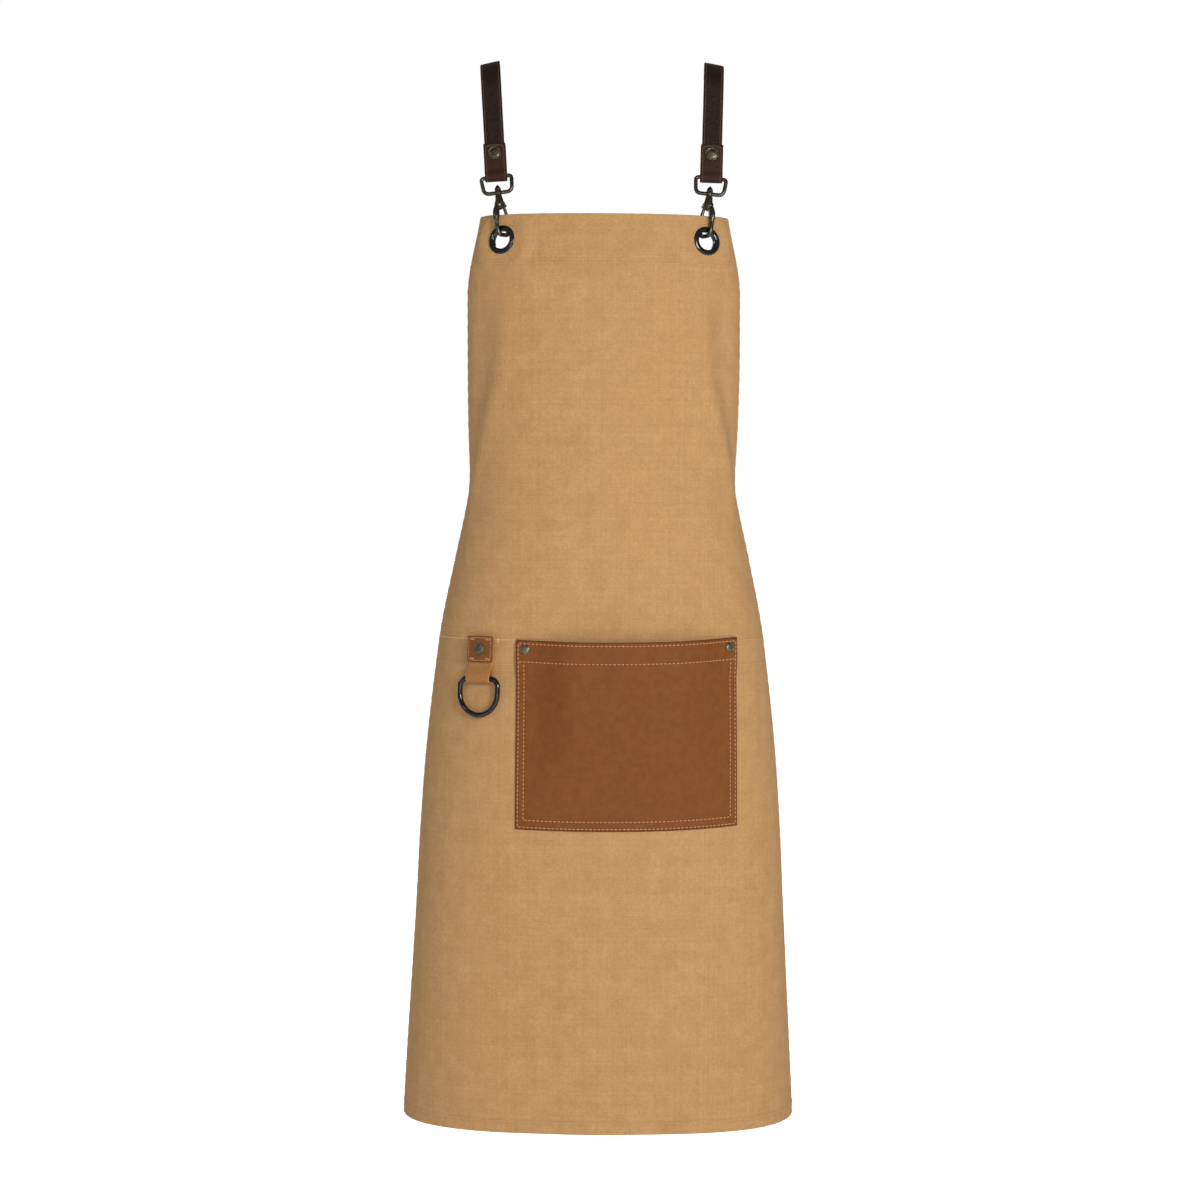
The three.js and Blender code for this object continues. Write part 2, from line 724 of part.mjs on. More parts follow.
function addEyelet(side, name) {
  const group = groupAt(side * eyeletPlace, eyeletDrop);
  const barrel = eyeletHoleRadius + eyeletWall;
  const washerFace = backFace - turnThickness - layerGap;
  const back = washerFace - eyeletWasherThickness;
  const lift = layerGap / 2; // the flange lies this far off the cloth
  const front = turned([
    [eyeletHoleRadius, back],
    [eyeletHoleRadius, 0.5 * eyeletFlangeHeight],
    [barrel - 0.4, 0.95 * eyeletFlangeHeight],
    [0.5 * (barrel + eyeletFlangeRadius), eyeletFlangeHeight],
    [eyeletFlangeRadius - 0.5, 0.75 * eyeletFlangeHeight],
    [eyeletFlangeRadius, lift],
    [barrel, lift],
    [barrel, back],
    [eyeletHoleRadius, back],
  ], 28);
  const washer = turned([
    [barrel + fit, back],
    [eyeletFlangeRadius, back],
    [eyeletFlangeRadius, washerFace],
    [barrel + fit, washerFace],
    [barrel + fit, back],
  ], 28);
  add(group, `${name}_eyelet`, front, "blackNickel");
  add(group, `${name}_eyelet_washer`, washer, "blackNickel");
  apron.add(group);
}

// The run from the eyelet to the shoulder. The hook and loop lean back in line with the strap and
// outwards by hookLean. The strap leaves the loop's upper bar for its place on the shoulder, tangent
// to the bend there.
function hangingLine(side, name) {
  const stackMiddle = -(clothThickness + layerGap + turnThickness + layerGap) / 2;
  const eyelet = axesAt(side * eyeletPlace, eyeletDrop);
  const contact = eyelet.origin
    .clone()
    .addScaledVector(eyelet.up, eyeletHoleRadius)
    .addScaledVector(eyelet.out, stackMiddle);
  const bend = shoulderRadius + strapThickness / 2;
  const back = -contact.y;
  const rise = -shoulderRadius - contact.z;
  const reach = Math.hypot(back, rise);
  const lean = Math.atan2(back, rise) - Math.asin(bend / reach);
  const splay = side * THREE.MathUtils.degToRad(hookLean[name]);
  const straight = Math.sqrt(reach ** 2 - bend ** 2);
  const barAcross = contact.x + barHeight * Math.sin(splay);
  const strapSplay = Math.atan2(strapPlace[name] - barAcross, straight - barHeight * Math.cos(splay));
  return { contact, lean, splay, strapSplay, straight: straight - barHeight * Math.cos(splay), bend };
}

// Flat strap outline in the group's YZ plane: straight, over the shoulder, and a short tail behind.
function strapOutline(from, line) {
  const half = strapThickness / 2;
  const turn = Math.PI / 2 - line.lean + THREE.MathUtils.degToRad(strapTailFall);
  const outline = new THREE.Shape();
  const centre = { y: line.bend, z: line.straight / Math.cos(line.strapSplay) };
  const at = (radius, angle) => [centre.y - radius * Math.cos(angle), centre.z + radius * Math.sin(angle)];
  const tail = (radius) => {
    const [y, z] = at(radius, turn);
    return [y + strapTail * Math.sin(turn), z + strapTail * Math.cos(turn)];
  };
  outline.moveTo(-half, from);
  outline.lineTo(...at(line.bend + half, 0));
  for (const angle of steps(0, turn, 10).slice(1)) outline.lineTo(...at(line.bend + half, angle));
  outline.lineTo(...tail(line.bend + half));
  outline.lineTo(...tail(line.bend - half));
  for (const angle of steps(turn, 0, 10)) outline.lineTo(...at(line.bend - half, angle));
  outline.lineTo(half, from);
  return outline;
}

// Turns a slab whose outline is [back, height] so that its width runs along X.
const acrossStrap = new THREE.Matrix4().makeBasis(
  new THREE.Vector3(0, 1, 0),
  new THREE.Vector3(0, 0, 1),
  new THREE.Vector3(1, 0, 0),
);

// The strap's group has its origin at the loop's upper bar and its Z up along the strap.
function addStrap(chain, name, line) {
  const group = new THREE.Group();
  group.position.set(0, 0, barHeight);
  group.rotation.set(0, line.strapSplay - line.splay, 0);
  chain.add(group);
  const barRoom = loopWire + foldEase;
  const inner = barRoom + fit;
  const stud = studHeight - barHeight;
  const hole = rod(studPostRadius + fit, -15, 15).rotateX(Math.PI / 2).translate(0, 0, stud);

  const strap = slab(strapOutline(inner, line), strapWidth).applyMatrix4(acrossStrap);
  add(group, `${name}_strap`, cut(strap, hole), "darkLeather");

  const layers = strapThickness / 2 + layerGap; // the middle of the strap to the fold's inner faces
  const outline = foldOutline(barRoom, foldLeather, foldTop - barHeight, -layers, layers, foldPinch);
  const fold = slab(outline, foldWidth).applyMatrix4(acrossStrap);
  add(group, `${name}_strap_end`, cut(fold, hole), "redLeather");

  const face = layers + foldLeather + layerGap / 2;
  const cap = turned([
    [0, -face - 1],
    [studPostRadius, -face - 1],
    [studPostRadius, face],
    [studRadius, face],
    [studRadius, face + 0.35 * studCapHeight],
    [0.9 * studRadius, face + 0.8 * studCapHeight],
    [0.6 * studRadius, face + studCapHeight],
    [0, face + studCapHeight],
  ]);
  const back = turned([
    [studPostRadius + fit, -face - 1],
    [studBackRadius, -face - 1],
    [studBackRadius, -face],
    [studPostRadius + fit, -face],
    [studPostRadius + fit, -face - 1],
  ]);
  for (const [piece, geometry] of [["stud", cap], ["stud_back", back]]) {
    geometry.rotateX(Math.PI / 2).translate(0, 0, stud);
    add(group, `${name}_strap_${piece}`, geometry, "gunmetal");
  }
}

function addLoop(chain, name) {
  const ring = wire(loopPath(), () => loopWire, true).translate(0, 0, loopBase);
  const half = loopBoss.height / 2;
  const boss = rod(loopBoss.radius, loopBase - half, loopBase + half);
  const bore = rod(swivelPinRadius + fit, loopBase - half - 1, loopBase + half + 1, 12);
  add(chain, `${name}_strap_loop`, cut(joined(ring, boss), bore), "gunmetal");
}

// Middle of the hook's wire, from the shoulder down the front leg, under the eyelet and up to the tip.
function clawPath() {
  const w = hookHalfWidth;
  const route = [
    [1.5, hookShoulder + 1],
    [4.6, hookShoulder - 3.5],
    [w - 0.2, hookShoulder - 10],
    [w, 7],
    [w - 0.4, 0.8],
    [w - 2.6, hookBottom + 0.5],
    [0, hookBottom],
    [2.6 - w, hookBottom + 0.5],
    [0.7 - w, 0.2],
    [0.2 - w, 2.6],
  ];
  const curve = new THREE.CatmullRomCurve3(route.map(([out, height]) => new THREE.Vector3(out, height, 0)));
  return curve.getPoints(26);
}

// The hook lies in the XZ plane of its own group, with X outwards to the front leg.
function addHook(chain, name, side) {
  const hook = new THREE.Group();
  const ahead = THREE.MathUtils.degToRad(90 - hookTurn);
  hook.rotation.z = side < 0 ? Math.PI + ahead : -ahead;
  hook.position.set(0, -hookSet, 0);
  chain.add(hook);

  const collarTop = loopBase - loopBoss.height / 2 - fit;
  const claw = wire(clawPath(), (share) => THREE.MathUtils.lerp(hookLegRadius, hookWire, ease(3 * share)));
  const collar = turned([
    [0, hookShoulder],
    [hookCollarRadius + 1, hookShoulder],
    [hookCollarRadius, hookShoulder + 5],
    [hookCollarRadius - 0.6, collarTop],
    [0, collarTop],
  ]);
  const shoulder = turnedBall(6.2, hookCheek, 5.2).translate(-0.4, 0, hookShoulder);
  const pin = gatePivot;
  const slotFrom = -gateThickness / 2 - fit;
  const slotTo = gateThickness / 2 + gateSpringWidth + 2 * fit;
  const slot = block(7, slotTo - slotFrom, 12);
  slot.translate(pin.out - 1.4, (slotFrom + slotTo) / 2, pin.height - 3.4);
  const pinHole = rod(gatePinRadius + fit, -9, 9, 12).rotateX(Math.PI / 2).translate(pin.out, 0, pin.height);
  const bore = rod(swivelPinRadius + fit, hookShoulder + 2, collarTop + 1, 12);
  const shift = new THREE.Vector3(0, hookSet, 0).applyAxisAngle(new THREE.Vector3(0, 0, 1), -hook.rotation.z);
  for (const piece of [collar, bore]) piece.translate(shift.x, shift.y, 0);
  add(hook, `${name}_hook_body`, cut(joined(claw, collar, shoulder), slot, pinHole, bore), "gunmetal");

  const knuckle = rod(2.1, -gateThickness / 2, gateThickness / 2, 14)
    .rotateX(Math.PI / 2)
    .translate(pin.out, 0, pin.height);
  const gateRoute = [
    [pin.out, pin.height],
    [pin.out - 1.7, pin.height - 4],
    [0.2 - hookHalfWidth, pin.height - 9],
    [0.2 - hookHalfWidth, 2.6 + hookWire + fit],
  ];
  const gateCurve = new THREE.CatmullRomCurve3(gateRoute.map(([x, y]) => new THREE.Vector3(x, y, 0)));
  const lever = wire(gateCurve.getPoints(10), (share) => gateWire * (0.72 + 0.28 * ease(4 * share)));
  const gateHole = rod(gatePinRadius + fit / 2, -9, 9, 12).rotateX(Math.PI / 2);
  gateHole.translate(pin.out, 0, pin.height);
  add(hook, `${name}_hook_gate`, cut(joined(knuckle, lever), gateHole), "gunmetal");

  const gatePin = rod(gatePinRadius, -hookCheek, hookCheek, 12).rotateX(Math.PI / 2);
  add(hook, `${name}_gate_pin`, gatePin.translate(pin.out, 0, pin.height), "springSteel");

  const springStart = gateThickness / 2 + fit;
  const spring = turned([
    [gatePinRadius + fit / 2, 0],
    [1.7, 0],
    [1.7, gateSpringWidth],
    [gatePinRadius + fit / 2, gateSpringWidth],
    [gatePinRadius + fit / 2, 0],
  ], 14);
  spring.rotateX(-Math.PI / 2).translate(pin.out, springStart, pin.height);
  add(hook, `${name}_gate_spring`, spring, "springSteel");

  const headBase = loopBase + loopBoss.height / 2 + fit;
  const swivelPin = turned([
    [0, hookShoulder + 2 + fit],
    [swivelPinRadius, hookShoulder + 2 + fit],
    [swivelPinRadius, headBase],
    [swivelHead.radius, headBase],
    [swivelHead.radius, headBase + 0.3 * swivelHead.height],
    [0.5 * swivelHead.radius, headBase + 0.9 * swivelHead.height],
    [0, headBase + swivelHead.height],
  ]);
  add(chain, `${name}_swivel_pin`, swivelPin, "gunmetal");
}

function turnedBall(halfX, halfY, halfZ) {
  const geometry = new THREE.SphereGeometry(1, 16, 10);
  geometry.deleteAttribute("normal");
  geometry.deleteAttribute("uv");
  return mergeVertices(geometry, 1e-4).scale(halfX, halfY, halfZ);
}

function addShoulderStraps() {
  for (const side of [-1, 1]) {
    const name = side < 0 ? "left" : "right";
    const line = hangingLine(side, name);
    const chain = new THREE.Group();
    chain.position.copy(line.contact);
    chain.rotation.set(-line.lean, line.splay, 0, "YXZ");
    apron.add(chain);
    addEyelet(side, name);
    addHook(chain, name, side);
    addLoop(chain, name);
    addStrap(chain, name, line);
  }
}

addPanel();
addHems();
addPocket();
addTab();
addShoulderStraps();

export default apron;
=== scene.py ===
import json
import math

import bpy
import numpy as np
from mathutils import Matrix, Vector


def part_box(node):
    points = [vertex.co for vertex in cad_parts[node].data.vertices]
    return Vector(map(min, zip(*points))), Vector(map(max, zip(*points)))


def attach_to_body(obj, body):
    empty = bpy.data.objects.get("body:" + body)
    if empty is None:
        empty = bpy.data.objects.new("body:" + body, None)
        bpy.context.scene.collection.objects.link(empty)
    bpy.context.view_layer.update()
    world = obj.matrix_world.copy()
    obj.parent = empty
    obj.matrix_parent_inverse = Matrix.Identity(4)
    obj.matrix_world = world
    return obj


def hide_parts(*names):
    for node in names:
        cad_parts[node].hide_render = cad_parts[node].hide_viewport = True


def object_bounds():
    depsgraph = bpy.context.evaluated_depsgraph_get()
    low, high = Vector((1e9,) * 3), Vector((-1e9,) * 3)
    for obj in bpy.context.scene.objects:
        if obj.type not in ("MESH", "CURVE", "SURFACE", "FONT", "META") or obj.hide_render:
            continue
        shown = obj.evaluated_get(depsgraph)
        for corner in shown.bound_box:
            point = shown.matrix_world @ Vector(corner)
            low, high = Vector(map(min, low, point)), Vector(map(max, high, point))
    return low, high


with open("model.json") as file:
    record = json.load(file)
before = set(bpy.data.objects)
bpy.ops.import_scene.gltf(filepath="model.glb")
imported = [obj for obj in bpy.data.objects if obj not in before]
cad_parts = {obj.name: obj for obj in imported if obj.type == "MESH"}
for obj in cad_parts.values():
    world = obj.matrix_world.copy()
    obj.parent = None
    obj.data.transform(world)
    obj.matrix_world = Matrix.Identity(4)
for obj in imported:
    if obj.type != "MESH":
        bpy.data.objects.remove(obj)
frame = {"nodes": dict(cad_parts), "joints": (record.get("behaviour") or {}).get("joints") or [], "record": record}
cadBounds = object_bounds()
joints = {joint["name"]: joint for joint in frame["joints"]}
mounts = {mount["name"]: mount for mount in frame["record"]["mounts"]}
sides = {"left": -1, "right": 1}
clearance = 0.0003      # left between pieces that touch or turn on each other


# Numbers and meshes

def easeIn(share):
    t = np.clip(share, 0, 1)
    return t * t * (3 - 2 * t)


# Bell-shaped rise that is 1 where away is 0
def bell(away, width):
    return np.exp(-(away / width) ** 2)


def unit(vectors):
    return vectors / np.maximum(np.linalg.norm(vectors, axis=-1, keepdims=True), 1e-12)


# Even, wavy unevenness between -1 and 1 that has no visible repeat
def unevenness(u, v, size, seed):
    total = np.zeros(np.broadcast(u, v).shape)
    for k in range(6):
        turn = seed * 1.7 + k * 2.4
        pitch = size * (0.7 + 0.23 * k)
        along = u * math.cos(turn) + v * math.sin(turn)
        total = total + np.sin(along * 2 * math.pi / pitch + seed + 3.1 * k)
    return total / 6


# Mesh object from points and arrays of faces, with optional UVs and values at the points
def makeMesh(name, points, faces, material, uv=None, values=None, creaseAngle=38):
    mesh = bpy.data.meshes.new(name)
    points = np.asarray(points, np.float32)
    faces = [np.asarray(part, np.int32) for part in faces if len(part)]
    corners = np.concatenate([part.ravel() for part in faces])
    counts = np.concatenate([np.full(len(part), part.shape[1], np.int32) for part in faces])
    mesh.vertices.add(len(points))
    mesh.vertices.foreach_set("co", points.ravel())
    mesh.loops.add(len(corners))
    mesh.loops.foreach_set("vertex_index", corners)
    mesh.polygons.add(len(counts))
    mesh.polygons.foreach_set("loop_start", np.concatenate([[0], np.cumsum(counts)[:-1]]).astype(np.int32))
    mesh.polygons.foreach_set("loop_total", counts)
    mesh.update(calc_edges=True)
    mesh.validate()
    mesh.shade_smooth()
    mesh.set_sharp_from_angle(angle=math.radians(creaseAngle))
    if uv is not None:
        layer = mesh.uv_layers.new(name="UVMap")
        layer.data.foreach_set("uv", np.asarray(uv, np.float32)[corners].ravel())
    for label, amounts in (values or {}).items():
        field = mesh.attributes.new(label, "FLOAT", "POINT")
        field.data.foreach_set("value", np.asarray(amounts, np.float32).ravel())
    piece = bpy.data.objects.new(name, mesh)
    bpy.context.scene.collection.objects.link(piece)
    mesh.materials.append(material)
    return piece


# Puts a piece on its body, in the place of its CAD node, if it has one, which it hides
def attach(piece, body, node=None):
    if node:
        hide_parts(node)
    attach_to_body(piece, body)
    return piece


# Quads between each ring of point numbers and the next one, on closed rings
def ringQuads(here, there):
    return np.stack([here, np.roll(here, -1, -1), np.roll(there, -1, -1), there], -1).reshape(-1, 4)


# Origin and directions of a frame: X, Y, Z and where it stands
def axesOf(place):
    return (np.array(place.col[k].xyz) for k in range(4))


# Several closed shapes as one mesh. Each shape is (points, list of face arrays).
def joinShapes(name, shapes, material, **options):
    points, faces, start = [], [], 0
    for shapePoints, shapeFaces in shapes:
        points.append(shapePoints)
        faces += [np.asarray(part) + start for part in shapeFaces]
        start += len(shapePoints)
    return makeMesh(name, np.concatenate(points), faces, material, **options)


# Closed sheet between two grids of points, whose rows run down and whose columns run to the right
def closedSheet(name, outer, inner, material, uv, values=None, keep=None):
    rows, columns = outer.shape[:2]
    total = rows * columns
    index = np.arange(total).reshape(rows, columns)
    front = np.stack([index[:-1, :-1], index[1:, :-1], index[1:, 1:], index[:-1, 1:]], -1).reshape(-1, 4)
    if keep is not None:
        front = front[keep.ravel()]
    edges = np.stack([front, np.roll(front, -1, axis=1)], -1).reshape(-1, 2).astype(np.int64)
    here, back = edges[:, 0] * total + edges[:, 1], edges[:, 1] * total + edges[:, 0]
    rim = edges[~np.isin(here, back)]
    walls = np.stack([rim[:, 1], rim[:, 0], rim[:, 0] + total, rim[:, 1] + total], -1)
    faces = np.concatenate([front, front[:, ::-1] + total, walls])
    used = np.zeros(2 * total, bool)
    used[faces.ravel()] = True
    renumber = np.cumsum(used) - 1
    points = np.concatenate([outer.reshape(-1, 3), inner.reshape(-1, 3)])[used]
    flatUv = np.tile(uv.reshape(-1, 2), (2, 1))[used]
    kept = {label: np.tile(amounts.ravel(), 2)[used] for label, amounts in (values or {}).items()}
    return makeMesh(name, points, [renumber[faces]], material, flatUv, kept)


# Outline with its corners rounded off, for a turned piece's profile
def softened(profile, radius, closed=False, cuts=4):
    points = [Vector(point) for point in profile]
    count = len(points)
    smooth = []
    for i, point in enumerate(points):
        if not closed and i in (0, count - 1):
            smooth.append(point)
            continue
        before, after = points[i - 1] - point, points[(i + 1) % count] - point
        reach = min(radius, 0.45 * before.length, 0.45 * after.length)
        start, end = point + before.normalized() * reach, point + after.normalized() * reach
        for k in range(cuts + 1):
            t = k / cuts
            smooth.append((1 - t) ** 2 * start + 2 * t * (1 - t) * point + t * t * end)
    return smooth


# Turned shape about the Z axis from a profile of (radius, height), with its ends on the axis or closed
def turnedShape(profile, place, closed=False, segments=72, rounding=0.0003):
    outline = np.array([tuple(point) for point in softened(profile, rounding, closed)])
    angles = np.arange(segments) * 2 * math.pi / segments
    points = np.stack([
        outline[:, 0, None] * np.cos(angles),
        outline[:, 0, None] * np.sin(angles),
        np.repeat(outline[:, 1, None], segments, axis=1),
    ], -1)
    count = len(outline)
    index = np.arange(count * segments).reshape(count, segments)
    if not closed:
        index[0, :], index[-1, :] = index[0, 0], index[-1, 0]
    rows = np.arange(count if closed else count - 1)
    here, there = index[rows], index[(rows + 1) % count]
    quads = ringQuads(here, there)
    if closed:
        faces = [quads]
    else:
        first, last = quads[:segments], quads[-segments:]
        faces = [quads[segments:-segments], first[:, [0, 2, 3]], last[:, [0, 1, 2]]]
    area = np.sum(outline[:, 0] * np.roll(outline[:, 1], -1) - np.roll(outline[:, 0], -1) * outline[:, 1])
    if area < 0:
        faces = [part[:, ::-1] for part in faces]
    return inFrame(place, points.reshape(-1, 3)), faces


def turnedPiece(name, profile, place, material, **options):
    return joinShapes(name, [turnedShape(profile, place, **options)], material)


# Profile of a plain ring, and the round top of a cap
def ringProfile(inner, outer, low, high):
    return [(inner, low), (outer, low), (outer, high), (inner, high)]


def domeProfile(radius, base, rise, cuts):
    return [(radius * math.cos(a), base + rise * math.sin(a)) for a in np.linspace(0, math.pi / 2, cuts)]


def inFrame(place, points):
    turn = np.array(place)
    return np.asarray(points, float) @ turn[:3, :3].T + turn[:3, 3]


# Frame from an origin and three directions
def frameOf(origin, x, y, z):
    place = Matrix.Identity(4)
    for column, axis in enumerate((x, y, z, origin)):
        place.col[column].xyz = axis
    return place


# Frame whose Z is the given direction
def facing(origin, z):
    z = Vector(z).normalized()
    x = z.orthogonal().normalized()
    return frameOf(Vector(origin), x, z.cross(x), z)


# Wire with domed ends along a path that lies in a plane with the given normal. radius may change along
# the path, and flatten is the wire's size along the normal over its size in the plane.
def wireShape(path, radius, normal, sides=28, closed=False, flatten=1.0):
    path = np.asarray(path, float)
    count = len(path)
    radius = np.broadcast_to(np.asarray(radius, float), (count,)).copy()
    flatten = np.broadcast_to(np.asarray(flatten, float), (count,))
    if closed:
        along = unit(np.roll(path, -1, 0) - np.roll(path, 1, 0))
    else:
        along = unit(np.gradient(path, axis=0))
    if not closed:
        steps = np.radians([90, 72, 54, 36, 18])[:, None]
        first = path[0] - along[0] * radius[0] * np.sin(steps)
        last = path[-1] + along[-1] * radius[-1] * np.sin(steps[::-1])
        shrink = np.maximum(np.cos(steps[:, 0]), 0.06)
        radius = np.concatenate([radius[0] * shrink, radius, radius[-1] * shrink[::-1]])
        flatten = np.pad(flatten, len(steps), mode="edge")
        along = np.pad(along, ((len(steps), len(steps)), (0, 0)), mode="edge")
        path = np.concatenate([first, path, last])
        count = len(path)
    side = unit(np.cross(np.asarray(normal, float), along))
    up = np.cross(along, side)
    angles = np.arange(sides) * 2 * math.pi / sides
    ring = (side[:, None] * np.cos(angles)[None, :, None]
            + up[:, None] * (np.sin(angles)[None] * flatten[:, None])[:, :, None])
    points = (path[:, None] + ring * radius[:, None, None]).reshape(-1, 3)
    index = np.arange(count * sides).reshape(count, sides)
    there = np.roll(index, -1, 0) if closed else index[1:]
    here = index if closed else index[:-1]
    caps = [] if closed else [index[0, ::-1], index[-1]]
    return points, [ringQuads(here, there), np.array(caps)]


# Distance travelled along a path at each of its points
def travelAlong(path):
    return np.concatenate([[0], np.cumsum(np.linalg.norm(np.diff(path, axis=0), axis=1))])


# Leather or cloth band whose section is swept along a path. across is the width's direction, and the
# section is a list of (across, out) points.
def bandPiece(name, path, across, section, material, shape=None):
    path = np.asarray(path, float)
    across = unit(np.asarray(across, float))
    along = unit(np.gradient(path, axis=0))
    out = unit(np.cross(across, along))
    section = np.asarray(section, float)
    points = path[:, None] + across * section[None, :, :1] + out[:, None] * section[None, :, 1:]
    if shape is not None:
        points = shape(points)
    count, ring = points.shape[:2]
    index = np.arange(count * ring).reshape(count, ring)
    travel = travelAlong(path)
    uv = np.stack(np.broadcast_arrays(section[None, :, 0], travel[:, None]), -1).reshape(-1, 2)
    halfWidth = np.abs(section[:, 0]).max()
    fromEnd = np.minimum(travel, travel[-1] - travel)
    inside = np.minimum(halfWidth - np.abs(section[None, :, 0]), fromEnd[:, None])
    faces = [ringQuads(index[:-1], index[1:]), np.stack([index[0, ::-1], index[-1]])]
    return makeMesh(name, points.reshape(-1, 3), faces, material, uv, {"inside": inside})


# Section of a leather strap with rounded edges and a creased line pressed in along both edges
def strapSection(width, thickness, crease, creaseDepth, cuts=40):
    corner, creaseWidth = 0.42 * thickness, 0.00045
    half, flat = width / 2, width / 2 - corner
    top = []
    for x in np.linspace(-flat, flat, cuts):
        dip = sum(creaseDepth * bell(x - side * (half - crease), creaseWidth) for side in (-1, 1))
        top.append((x, thickness / 2 - dip))
    ends = [
        (flat + corner * math.sin(a), (thickness / 2 - corner) + corner * math.cos(a))
        for a in np.linspace(0, math.pi / 2, 6)[1:]
    ]
    right = ends + [(x, -y) for x, y in ends[::-1]]
    bottom = [(-x, -y) for x, y in top]
    outline = top + right + bottom + [(-x, -y) for x, y in right]
    return outline[::-1]


# Smooth curve through points, with a cusp-free Catmull-Rom spline
def smoothPath(points, cuts=8):
    points = np.asarray(points, float)
    padded = np.concatenate([[2 * points[0] - points[1]], points, [2 * points[-1] - points[-2]]])
    path = []
    for i in range(1, len(padded) - 2):
        p0, p1, p2, p3 = padded[i - 1:i + 3]
        for t in np.arange(cuts) / cuts:
            path.append(0.5 * (
                2 * p1 + (p2 - p0) * t + (2 * p0 - 5 * p1 + 4 * p2 - p3) * t * t
                + (3 * p1 - p0 - 3 * p2 + p3) * t ** 3
            ))
    path.append(points[-1])
    return np.array(path)


def arc(centreX, centreY, radius, start, end, cuts):
    angles = np.radians(np.linspace(start, end, cuts + 1))
    return [(centreX + radius * math.cos(a), centreY + radius * math.sin(a)) for a in angles]


def bezier(a, b, c, d, cuts):
    a, b, c, d = (np.array(point, float) for point in (a, b, c, d))
    return [tuple((1 - t) ** 3 * a + 3 * t * (1 - t) ** 2 * b + 3 * t * t * (1 - t) * c + t ** 3 * d)
            for t in np.linspace(0, 1, cuts + 1)]


# Shader helpers

def connect(tree, value, socket):
    if isinstance(value, bpy.types.NodeSocket):
        tree.links.new(value, socket)
    else:
        socket.default_value = value


def addNode(tree, kind, inputs=None, **settings):
    made = tree.nodes.new("ShaderNode" + kind)
    for key, value in settings.items():
        setattr(made, key, value)
    for key, value in (inputs or {}).items():
        connect(tree, value, made.inputs[key])
    return made


def calc(tree, operation, *values):
    made = tree.nodes.new("ShaderNodeMath")
    made.operation = operation
    for socket, value in zip(made.inputs, values):
        connect(tree, value, socket)
    return made.outputs[0]


def blendColour(tree, factor, first, second, mode="MIX"):
    made = addNode(tree, "Mix", data_type="RGBA", blend_type=mode)
    connect(tree, factor, made.inputs["Factor"])
    connect(tree, first, made.inputs[6])
    connect(tree, second, made.inputs[7])
    return made.outputs[2]


def spread(tree, value, low, high, toLow=0.0, toHigh=1.0):
    made = addNode(tree, "MapRange", {
        "Value": value, "From Min": low, "From Max": high, "To Min": toLow, "To Max": toHigh,
    })
    return made.outputs["Result"]


def noise(tree, vector, scale, detail=3.0, roughness=0.5):
    made = addNode(tree, "TexNoise", {
        "Vector": vector, "Scale": scale, "Detail": detail, "Roughness": roughness,
    })
    return made.outputs["Fac"]


def stretched(tree, vector, size):
    made = addNode(tree, "Mapping", {"Vector": vector, "Scale": size})
    return made.outputs["Vector"]


# Darkens or lightens a colour by a value that is 1 where it stays as it is
def shaded(tree, tone, shade):
    grey = addNode(tree, "CombineColor", {key: shade for key in ("Red", "Green", "Blue")}).outputs["Color"]
    return blendColour(tree, 1.0, tone, grey, "MULTIPLY")


def fieldValue(tree, label):
    return addNode(tree, "Attribute", attribute_name=label).outputs["Fac"]


# Node group with inputs of (name, kind, value) and number outputs. It comes back with its input sockets
# and a function that puts a value out.
def newGroup(name, ins, outs):
    tree = bpy.data.node_groups.new(name, "ShaderNodeTree")
    for label, kind, value in ins:
        socket = tree.interface.new_socket(name=label, in_out="INPUT", socket_type="NodeSocket" + kind)
        if value is not None:
            socket.default_value = value
    for label in outs:
        tree.interface.new_socket(name=label, in_out="OUTPUT", socket_type="NodeSocketFloat")
    given, result = tree.nodes.new("NodeGroupInput").outputs, tree.nodes.new("NodeGroupOutput").inputs
    return tree, given, lambda label, value: connect(tree, value, result[label])


def useGroup(tree, group, inputs):
    made = addNode(tree, "Group", node_tree=group)
    for key, value in inputs.items():
        connect(tree, value, made.inputs[key])
    return made.outputs


